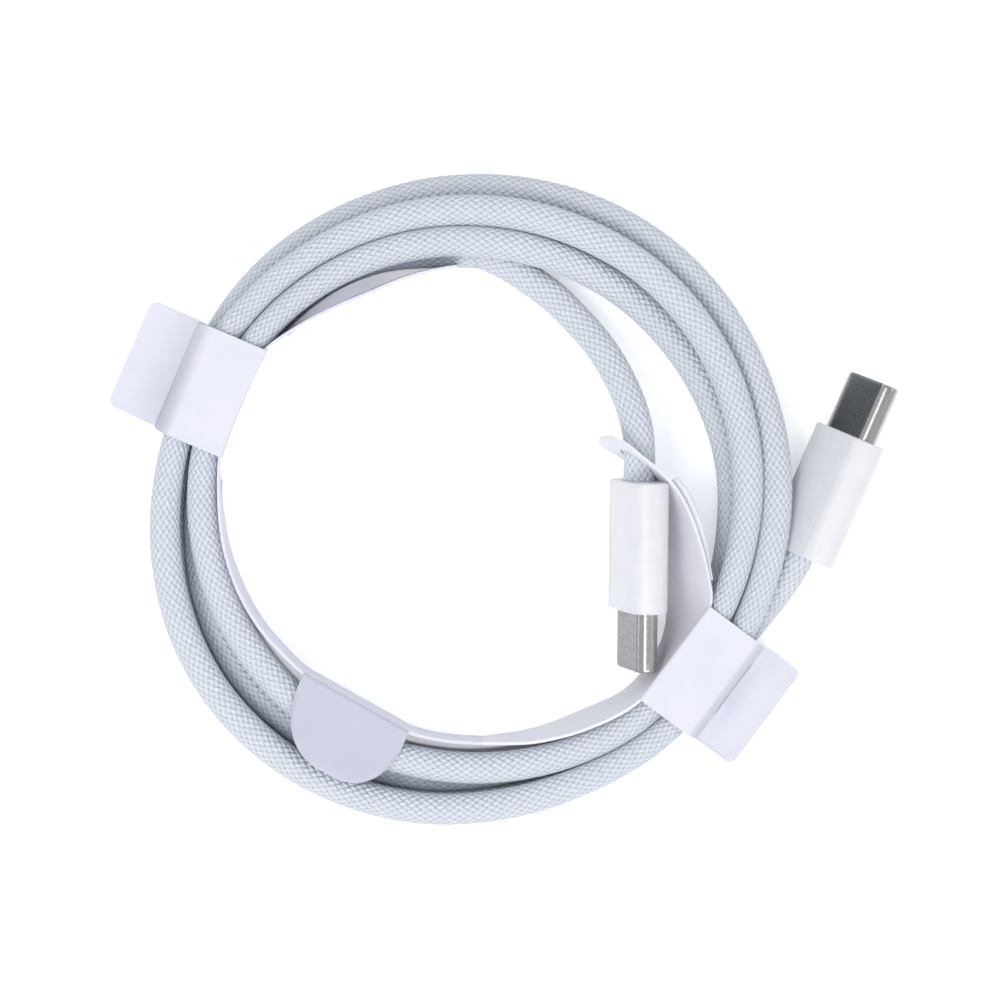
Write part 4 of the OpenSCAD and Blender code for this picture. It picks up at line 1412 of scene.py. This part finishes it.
@dataclass
class ClaspCover:
    """The flap that folds over the bundle and down to a flange.

    Attributes:
        sizes: Sizes that several pieces share.
        side: Which clasp it is.
        angle: Its direction from the coil's axis, in degrees.
        crease_r: Distance of its crease from the axis.
        shoulder_r: The same of its shoulder, where the top ends and the slope begins.
        foot_r: The same of the slope's foot, where the flange begins.
        end_r: The same of the flange's end.
        crease_bow: How far the crease bows outward in the middle.
        shoulder_radius: Rounding of the shoulder.
        foot_radius: Rounding of the foot at the flap's sides and in its middle.
        dome: How far the flange is domed.
        flange_ends: How far the flange's two ends are shifted along the crease.
        slope_painted_shade: Where the slope's painted shade starts, and its strength at both sides.
        crease_painted_shade: Strength of the painted shade line along the foot, and its two ends.
        flange_painted_shade: Strength of the painted shade at the flange's end.
        sag: How far the top sags between crease and shoulder.
        foot_middle: Place across the flap where the foot is sharpest.
        foot_spread: Square of the distance over which it grows softer towards the sides.
        foot_half: Half the length over which the flange shifts to the side.
        dome_start: Distance past the foot at which the dome begins.
        dome_power: Below 1, the dome is highest nearer to the foot than to the end.
        dome_fall: How much lower the dome is at the flap's sides, as a share.
        painted_shade_ramp: Length over which the slope's painted shade grows from nothing.
        painted_shade_least: Share of the slope's painted shade at its start.
        slope_past: How far past the foot the slope's painted shade still holds.
        crease_fade: Length over which the painted shade line fades at its ends.
        crease_width: Half width of the painted shade line.
        run_steps: Steps of the side view from the crease up, over the top, down and out.
        arc_steps: Points on each of its rounded corners.
        columns: Points across the flap.
    """

    sizes: Sizes
    side: ClaspSide
    angle: float
    crease_r: float
    shoulder_r: float
    foot_r: float
    end_r: float
    crease_bow: float
    shoulder_radius: float
    foot_radius: tuple[float, float]
    dome: float
    flange_ends: tuple[float, float]
    slope_painted_shade: tuple[float, float, float]
    crease_painted_shade: tuple[float, float, float]
    flange_painted_shade: float
    sag: float = 0.05
    foot_middle: float = 0.1
    foot_spread: float = 0.25
    foot_half: float = 0.3
    dome_start: float = 0.8
    dome_power: float = 0.8
    dome_fall: float = 0.3
    painted_shade_ramp: float = 0.4
    painted_shade_least: float = 0.55
    slope_past: float = 0.05
    crease_fade: float = 0.15
    crease_width: float = 0.16
    run_steps: tuple[int, ...] = (2, 12, 8, 18)
    arc_steps: int = 9
    columns: int = 57

    def profile(self, across: float) -> np.ndarray:
        """Side view at a place across the clasp, from -1 to 1."""
        s = self.sizes
        top, low = s.fold_z, s.card_t + s.flange_gap + s.card_t / 2
        crease = self.crease_r + self.crease_bow * (1 - across * across)
        middle = math.exp(-((across - self.foot_middle) ** 2) / self.foot_spread)
        at_side, at_middle = self.foot_radius
        radii = [s.card_fold_r, self.shoulder_radius, at_side + (at_middle - at_side) * middle]
        corners = [
            np.array([crease, s.strip_top]),
            np.array([crease, top]),
            np.array([self.shoulder_r, top]),
            np.array([self.foot_r, low]),
            np.array([self.end_r, low]),
        ]
        x, z = fold_line(corners, radii, self.run_steps, self.arc_steps).T
        over = ramp(x, crease, self.shoulder_r)
        z = z - self.sag * np.sin(np.pi * over) * (x < self.shoulder_r)
        out = ramp(x, self.foot_r + self.dome_start, self.end_r)
        dome = self.dome * (1 - self.dome_fall * across * across)
        return np.column_stack([x, z + dome * np.sin(np.pi * out**self.dome_power)])

    def painted_shades(self, out: np.ndarray, across: np.ndarray) -> np.ndarray:
        """How much painted shade darkens the card at each grid point.

        Args:
            out: Distance of each grid point from the coil's axis, across the bundle.
            across: Place of each column across the flap, from -1 to 1.

        Returns:
            Shares from 0 to about 1, one for each grid point.
        """
        # Painted shade: the slope, a line along the foot's crease and the flange's end get a darker
        # colour.
        start, first, last = self.slope_painted_shade
        share = ramp(out, start, self.foot_r)
        run = ramp(out, start, start + self.painted_shade_ramp)
        run = run * (self.painted_shade_least + (1 - self.painted_shade_least) * share)
        on_slope = out <= self.foot_r + self.slope_past
        slope = (first + (last - first) * (1 + across) / 2) * run * on_slope
        strength, low, high = self.crease_painted_shade
        fade = self.crease_fade
        inside = ramp(across, low, low + fade) * (1 - ramp(across, high - fade, high))
        line = np.exp(-(((out - self.foot_r) / self.crease_width) ** 2))
        past = ramp(out, self.foot_r, self.end_r)
        return slope + strength * inside * line + self.flange_painted_shade * past

    def mark_painted_shade(self, piece: bpy.types.Object, painted_shades: np.ndarray) -> None:
        """Writes the painted shade into a UV map, for both faces of the flap."""
        painted_shades = painted_shades.ravel()
        layer = piece.data.uv_layers.new(name="painted_shade")
        for loop in piece.data.loops:
            layer.data[loop.index].uv = (min(painted_shades[loop.vertex_index % len(painted_shades)], 1.0), 0.0)

    def half_widths(self, out: np.ndarray) -> np.ndarray:
        """Half the flap's width at distances from the axis, with the flange's round corners."""
        r = self.sizes.flange_r
        corner = np.maximum(out - (self.end_r - r), 0)
        return self.sizes.clasp_len / 2 - r + np.sqrt(np.maximum(r**2 - corner**2, 0))

    def build(self, finish: bpy.types.Material) -> bpy.types.Object:
        """Makes the flap, riding on its body."""
        across = np.linspace(-1, 1, self.columns)
        lines = np.stack([self.profile(a) for a in across], axis=1)
        out = lines[:, self.columns // 2, 0]
        side = across[None, :] * self.half_widths(out)[:, None]
        past = ramp(out, self.foot_r - self.foot_half, self.foot_r + self.foot_half)[:, None]
        first, last = self.flange_ends
        side = side + past * (first * (1 - across) + last * (1 + across))[None, :] / 2
        grid = clasp_grid(self.angle, lines[..., 0], side, lines[..., 1])
        piece = add_sheet(f"{self.side.value}_clasp_cover", grid, self.sizes.card_t, finish)
        self.mark_painted_shade(piece, self.painted_shades(lines[..., 0], across))
        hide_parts(f"{self.side.value}_cover_wing")
        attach(piece, f"{self.side.value}_cover")
        return piece


def left_cover(sizes: Sizes) -> ClaspCover:
    """The left clasp's cover, evenly folded."""
    return ClaspCover(
        sizes,
        ClaspSide.LEFT,
        angle=sizes.left_clasp_a,
        crease_r=sizes.left_crease_r + 0.08,
        shoulder_r=35.9,
        foot_r=37.8,
        end_r=44.1,
        crease_bow=0.25,
        shoulder_radius=0.6,
        foot_radius=(0.35, 0.25),
        dome=0.1,
        flange_ends=(-0.28, -0.4),
        slope_painted_shade=(35.1, 0.25, 0.7),
        crease_painted_shade=(0.3, -1.3, 1.3),
        flange_painted_shade=0.0,
    )


def right_cover(sizes: Sizes) -> ClaspCover:
    """The right clasp's cover, pressed into a sharper fold in its middle."""
    return ClaspCover(
        sizes,
        ClaspSide.RIGHT,
        angle=sizes.right_clasp_a,
        crease_r=sizes.right_crease_r,
        shoulder_r=36.5,
        foot_r=38.3,
        end_r=43.7,
        crease_bow=0.0,
        shoulder_radius=0.5,
        foot_radius=(1.2, 0.25),
        dome=0.3,
        flange_ends=(0.45, 0.22),
        slope_painted_shade=(36.5, 0.4, 0.4),
        crease_painted_shade=(0.7, -0.5, 0.7),
        flange_painted_shade=0.16,
    )


@dataclass
class RoundTongue:
    """The round tongue folded over the bundle.

    Attributes:
        sizes: Sizes that several pieces share.
        reach: How far it reaches outward from its crease.
        power: Shape of its outline; 1 is a half ellipse, and less is squarer.
        skew: How far its tip leans to one side, as a share of half its width.
        rise: How much higher its tip is than its crease, along a curve of rise_power.
        rim_from: Share of the reach and of the width at which the rim turns down.
        rim_ease: Share of the reach over which the sides' rim grows.
        rim_drop: How far the rim turns down, along a curve of rim_power.
        crease_keep: Where the rounded crease ends and the tongue's own rows begin.
        crease_low: How far the crease's end lies below the folded card.
        tip_share: Share of the reach at the last row, which still has some width.
        crease_rows: Points on the rounded crease.
        rows: Rows of points outward.
        columns: Points across the tongue.
    """

    sizes: Sizes
    reach: float = 8.6
    power: float = 0.8
    skew: float = 0.12
    rise: float = 0.9
    rise_power: float = 1.3
    rim_from: float = 0.94
    rim_ease: float = 0.3
    rim_drop: float = 0.3
    rim_power: float = 1.5
    crease_keep: float = 0.3
    crease_low: float = 0.02
    tip_share: float = 0.9995
    crease_rows: int = 6
    rows: int = 40
    columns: int = 49

    def half_outline(self, out: np.ndarray, sign: int) -> np.ndarray:
        """Place along the crease of one side of the outline, at shares of the reach."""
        angle = np.arccos(np.clip(out, 0, 1) ** (1 / self.power))
        half = self.sizes.tongue_w / 2
        return half * (sign * np.sin(angle) ** self.power + self.skew * out)

    def heights(self, share: np.ndarray, across: np.ndarray) -> np.ndarray:
        """Height at shares of the reach and of the width, lower along the rim."""
        at_end = ramp(share, self.rim_from, 1)[:, None]
        at_side = ramp(np.abs(2 * across - 1), self.rim_from, 1)[None, :]
        rim = np.maximum(at_end, at_side * ramp(share, 0, self.rim_ease)[:, None])
        rise = self.rise * share[:, None] ** self.rise_power
        return self.sizes.fold_z + rise - self.rim_drop * rim**self.rim_power

    def crease(self) -> np.ndarray:
        """Side view of the rounded crease, from the strip up to the flat card."""
        s = self.sizes
        start, r = s.tongue_crease_r, s.card_fold_r
        line = [(start, s.fold_z - s.card_t / 2 - self.crease_low)]
        for a in quarter_turn(self.crease_rows):
            line.append((start + r * (1 - math.cos(a)), s.fold_z - r * (1 - math.sin(a))))
        return np.array(line)

    def build(self, finish: bpy.types.Material) -> bpy.types.Object:
        """Makes the tongue, riding on its body."""
        s = self.sizes
        share = np.sin(np.linspace(0, math.pi / 2, self.rows)) * self.tip_share
        low, high = self.half_outline(share, -1), self.half_outline(share, 1)
        across = (1 - np.cos(np.linspace(0, math.pi, self.columns))) / 2
        side = low[:, None] + (high - low)[:, None] * across[None, :]
        out = np.repeat((s.tongue_crease_r + share * self.reach)[:, None], self.columns, 1)
        z = self.heights(share, across)
        first = self.crease()
        keep = share * self.reach > self.crease_keep
        out = np.vstack([np.repeat(first[:, :1], self.columns, 1), out[keep]])
        z = np.vstack([np.repeat(first[:, 1:], self.columns, 1), z[keep]])
        side = np.vstack([np.repeat(side[:1], len(first), 0), side[keep]])
        piece = add_sheet("round_tongue", clasp_grid(s.tongue_a, out, side, z), s.card_t, finish)
        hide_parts("fold_tongue")
        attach(piece, "tongue")
        return piece


@dataclass
class StandingCard:
    """The strip that stands inside the ring, its leaning end and the card's small flaps.

    Attributes:
        sizes: Sizes that several pieces share.
        start: Places of the strip before the left clasp: angle, distance inside the strands.
        between: The same from the left clasp to the tongue.
        last: The same after the tongue.
        rows_before: The leaning end before the right clasp: angle, and distances inside the
            strands of its lower and upper edge.
        rows_at: The leaning end at the right clasp: distance of its lower edge inside the
            crease, place of that edge along the crease, and the upper edge's place.
        rows_after: The leaning end beyond it: distance inside the crease, place along it and
            height of the lower edge, then the same of the upper edge, above the wrap.
        leans: Angle, and how far the strip's foot leans outward there.
        backing: Upper edge of the layer behind the leaning end, its height above the wrap.
        flap: The narrow flap beside the left clasp: angle, radius it reaches, and height.
        flange_end: Distance from the axis that the floor flap reaches.
        crease_bow: How far the strip bows outward along the left crease.
        slot_back: How far the slot lies behind the inner plug.
        slot_room: Room round the cord in the slot.
        slot_past: How far the slot's cutter reaches past half the cord's thickness.
        slot_sides: Sides of the slot's cutter.
        flap_start: How far the narrow flap starts outside the strip.
        flap_fall: Its slope, downward as it goes out.
        foot_lean: How far the strip's foot leans outward at the left clasp.
        foot_gap: Gap between that foot and the floor flap.
        flange_shift: How far the floor flap is shifted along the crease.
        backing_drop: How much lower the backing is than its heights say.
        backing_reach: How far it goes down behind the leaning end.
        steps: Steps of a smooth line between two of its places.
        narrow_levels: Rows of points across the flap and the backing.
        levels: Rows of points up the strip.
        end_levels: Rows of points up the leaning end.
    """

    sizes: Sizes
    start: tuple[tuple[float, float], ...] = (
        (93, 4.35), (100, 4.55), (107, 4.7), (115, 4.8), (124, 4.3), (134, 3.3),
    )
    between: tuple[tuple[float, float], ...] = (
        (180, 2.4), (190, 2.45), (200, 2.6), (210, 2.9), (219, 3.35),
    )
    last: tuple[tuple[float, float], ...] = ((264, 3.4), (273, 3.2))
    rows_before: tuple[Point, ...] = ((285.1, 3.2, 2.4), (297.8, 3.1, 1.6))
    rows_at: tuple[Point, ...] = ((1.4, -6.75, -6.75), (1.4, 0, 0), (4.0, 4.75, 6.75))
    rows_after: tuple[tuple[float, ...], ...] = (
        (7.3, 7.9, 0, 2.7, 9.8, 0.5),
        (9.6, 10.8, 0, 5.76, 12.2, 0.9),
        (11.8, 13.1, 0.4, 9.1, 14.3, 1.4),
        (13.6, 14.3, 1.0, 12.06, 15.48, 1.8),
        (15.4, 14.8, 1.6, 14.54, 15.8, 2.1),
        (17.3, 14.8, 2.2, 17.2, 15.9, 2.3),
        (18.9, 14.7, 2.8, 19.2, 16.0, 2.2),
        (20.2, 14.5, 3.4, 20.7, 15.7, 1.7),
        (21.1, 14.4, 4.4, 21.5, 15.3, 0.7),
        (21.8, 14.5, 5.8, 22.0, 14.8, -0.6),
    )
    leans: tuple[tuple[float, float], ...] = (
        (93, 0.8), (134, 0.9), (145, 1.0), (169, 1.0), (184, 0.4), (200, 0),
    )
    backing: tuple[Point, ...] = (
        (24.0, 2.57, 1.5), (25.06, 1.35, 1.3), (26.4, -1.29, 1.0), (27.27, -3.95, 0.6),
        (27.75, -6.95, 0.3), (28.15, -9.3, 0.1),
    )
    flap: tuple[Point, ...] = (
        (115.2, 28.15, 5.2), (118, 28.5, 5.2), (122, 28.8, 5.2), (126, 29.0, 5.1),
        (130, 29.1, 4.9), (134, 29.15, 4.5), (138, 29.2, 4.0),
    )
    flange_end: float = 43.9
    crease_bow: float = 0.3
    slot_back: float = 3.2
    slot_room: float = 0.4
    slot_past: float = 0.7
    slot_sides: int = 48
    flap_start: float = 0.45
    flap_fall: float = 0.25
    foot_lean: float = 1.0
    foot_gap: float = 0.02
    flange_shift: float = -0.34
    backing_drop: float = 0.25
    backing_reach: float = 1.5
    steps: int = 6
    narrow_levels: int = 5
    levels: int = 9
    end_levels: int = 13

    def inset(self, places: Sequence[tuple[float, float]]) -> list[np.ndarray]:
        """Points at angles, and at distances inside the inner strands."""
        return [polar(self.sizes.inner_lane_r - p[1], p[0]) for p in places]

    def crease(self, angle: float, radius: float, width: float, bow: float) -> list[np.ndarray]:
        """Points along a crease, with a slight bow outward."""
        return [
            clasp_point(angle, radius + bow * (1 - t * t), t * width / 2)
            for t in (-1, -0.75, -0.4, 0, 0.4, 0.75, 1)
        ]

    def left_crease(self, radius: float) -> list[np.ndarray]:
        """Points along the left clasp's crease, at a distance from the axis."""
        return self.crease(self.sizes.left_clasp_a, radius, self.sizes.clasp_len, self.crease_bow)

    def strip_line(self) -> np.ndarray:
        """The strip's middle line."""
        s = self.sizes
        points = (
            self.inset(self.start)
            + self.left_crease(s.left_crease_r + s.strip_out)
            + self.inset(self.between)
            + self.crease(s.tongue_a, s.tongue_crease_r, s.tongue_w, 0)
            + self.inset(self.last)
        )
        return smooth_line(points, self.steps)

    def build_strip(self, finish: bpy.types.Material) -> bpy.types.Object:
        """Makes the standing strip."""
        s = self.sizes
        line = self.strip_line()
        level = np.linspace(0, 1, self.levels)
        grid = np.zeros((len(line), self.levels, 3))
        angles = np.degrees(np.arctan2(line[:, 1], line[:, 0])) % 360
        lean = np.interp(angles, *zip(*self.leans))[:, None, None] * (1 - level)[None, :, None]
        grid[..., :2] = line[:, None, :] + lean * unit(line)[:, None, :]
        grid[..., 2] = level * s.strip_top
        piece = add_sheet("card_standing_strip", grid, s.card_t, finish)
        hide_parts("card_strip")
        return piece

    def build_flap(self, finish: bpy.types.Material) -> bpy.types.Object:
        """Makes the narrow flap that stands off the strip beside the left clasp."""
        s = self.sizes
        angles = [p[0] for p in self.flap]
        insets = np.interp(angles, *zip(*self.start))
        rows = []
        for (angle, reach, height), inset in zip(self.flap, insets):
            first = s.inner_lane_r - inset + self.flap_start
            outward = np.linspace(first, reach, self.narrow_levels)
            fall = self.flap_fall
            rows.append([[*polar(r, angle), height - fall * (r - first)] for r in outward])
        return add_sheet("strip_side_flap", np.array(rows), s.card_t, finish)

    def build_floor_flap(self, finish: bpy.types.Material) -> bpy.types.Object:
        """Makes the left clasp's flap on the floor, from the strip's foot to the flange."""
        s = self.sizes
        strip = s.left_crease_r + s.strip_out + self.foot_lean
        points = self.left_crease(strip + s.card_t / 2 + self.foot_gap)[::-1]
        for sign, turn in ((-1, -90), (1, 0)):
            middle = sign * (s.clasp_len / 2 - s.flange_r) + self.flange_shift
            for swing in range(0, 91, 15):
                spot = polar(s.flange_r, turn + swing) + [self.flange_end - s.flange_r, middle]
                points.append(clasp_point(s.left_clasp_a, *spot))
        count = len(points)
        low = [[*p, 0.0] for p in points]
        high = [[*p, s.card_t] for p in points]
        faces = [list(range(count)), list(range(2 * count - 1, count - 1, -1))]
        faces += [[k, (k + 1) % count, count + (k + 1) % count, count + k] for k in range(count)]
        piece = add_piece("left_floor_flap", np.array(low + high), faces, finish)
        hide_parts("left_floor_wing")
        return piece

    def build_backing(self, finish: bpy.types.Material) -> bpy.types.Object:
        """Makes the second layer of card behind the leaning end."""
        s = self.sizes
        base = s.wrap_h - self.backing_drop
        upper = smooth_line([[x, y, base + z] for x, y, z in self.backing], self.steps)
        low, high = self.end_edges()
        rows = []
        for point in upper:
            near = int(np.argmin(np.linalg.norm(high[:, :2] - point[:2], axis=1)))
            down = unit(low[near] - high[near])
            behind = high[near] + self.backing_reach * down + np.array([s.card_t, 0, 0])
            level = np.linspace(0, 1, self.narrow_levels)
            rows.append([point + (behind - point) * t for t in level])
        return add_sheet("leaning_end_backing", np.array(rows), s.card_t, finish)

    def end_edges(self) -> tuple[np.ndarray, np.ndarray]:
        """Lower and upper edge points of the leaning end."""
        s = self.sizes
        first = self.inset(self.last)[-1]
        low, high = [[*first, 0.0]], [[*first, s.wrap_h]]
        for angle, below, above in self.rows_before:
            low.append([*polar(s.inner_lane_r - below, angle), 0.0])
            high.append([*polar(s.inner_lane_r - above, angle), s.wrap_h])
        for below, along, above in self.rows_at:
            low.append([*clasp_point(s.right_clasp_a, s.right_crease_r - below, along), 0.0])
            high.append([*clasp_point(s.right_clasp_a, s.right_crease_r, above), s.wrap_h])
        for row in self.rows_after:
            for edge, (inside, along, z), base in ((low, row[:3], 0.0), (high, row[3:], s.wrap_h)):
                spot = clasp_point(s.right_clasp_a, s.right_crease_r - inside, along)
                edge.append([*spot, base + z])
        return smooth_line(low, self.steps), smooth_line(high, self.steps)

    def build_end(self, finish: bpy.types.Material) -> bpy.types.Object:
        """Makes the leaning end, with the slot that the cord passes."""
        s = self.sizes
        low, high = self.end_edges()
        level = np.linspace(0, 1, self.end_levels)[None, :, None]
        grid = low[:, None, :] + (high - low)[:, None, :] * level
        piece = add_sheet("card_leaning_end", grid, s.card_t, finish)
        self.cut_slot(piece)
        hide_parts("card_end")
        return piece

    def cut_slot(self, piece: bpy.types.Object) -> None:
        """Cuts the round slot behind the inner plug."""
        s = self.sizes
        pose, n = s.inner_pose(), self.slot_sides
        radius, half = s.cord_d / 2 + self.slot_room, s.cord_d / 2 + self.slot_past
        rings = []
        for x in (-half - self.slot_back, half - self.slot_back):
            for k in range(n):
                a = 2 * math.pi * k / n
                rings.append([x, radius * math.cos(a), radius * math.sin(a)])
        faces = loft_faces(2, n) + [list(range(n - 1, -1, -1)), list(range(n, 2 * n))]
        points = pose.carry(np.array(rings))
        cutter = add_piece("slot_cutter", points, faces, piece.data.materials[0])
        cut = piece.modifiers.new("slot", "BOOLEAN")
        cut.operation, cut.solver, cut.object = "DIFFERENCE", "EXACT", cutter
        bpy.context.view_layer.update()
        graph = bpy.context.evaluated_depsgraph_get()
        mesh = bpy.data.meshes.new_from_object(piece.evaluated_get(graph))
        piece.modifiers.clear()
        piece.data = mesh
        bpy.data.objects.remove(cutter)

    def build(self, finish: bpy.types.Material, inner: bpy.types.Material) -> list:
        """Makes the standing card's pieces, riding on the cable's body."""
        # The leaning end and its backing take inner, the lighter card with painted light.
        pieces = [
            self.build_strip(finish),
            self.build_end(inner),
            self.build_flap(finish),
            self.build_floor_flap(finish),
            self.build_backing(inner),
        ]
        for piece in pieces:
            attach(piece, ROOT_BODY)
        return pieces


# ---------- Everything together ----------


def main() -> None:
    """Builds the studio, the cord, the card and the plugs."""
    logging.basicConfig(level=logging.INFO, format="%(name)s: %(message)s")
    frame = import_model()
    sizes = Sizes()
    studio = Studio(sizes)
    studio.build_camera()
    shelf = FinishShelf()
    shelf.fill()
    shelf.dress(frame)
    route = CordRoute(sizes)
    braided = BraidedCord(sizes)
    cord = braided.build(route, shelf.made["braid"])
    outer = Plug(sizes, PlugSide.OUTER, sizes.outer_pose()).build(shelf.made)
    inner = Plug(sizes, PlugSide.INNER, sizes.inner_pose()).build(shelf.made)
    braided.declare(route)
    standing = StandingCard(sizes).build(shelf.made["card"], shelf.made["card_painted_light"])
    # The covers' card carries painted shade on its slopes, creases and flanges.
    folded = shelf.made["folded_card_painted_shade"]
    covers = [cover(sizes).build(folded) for cover in (left_cover, right_cover)]
    # The tongue's card is darker in colour: painted shade.
    tongue = RoundTongue(sizes).build(shelf.made["tongue_card_painted_shade"])
    pieces = outer + inner + standing + covers + [tongue]
    for piece in pieces:
        LOG.info("%s: %d faces", piece.name, len(piece.data.polygons))
    studio.build_light()
    studio.build_floor()
    LOG.info("built %d pieces", len(pieces) + 1)


if __name__ == "__main__":
    main()
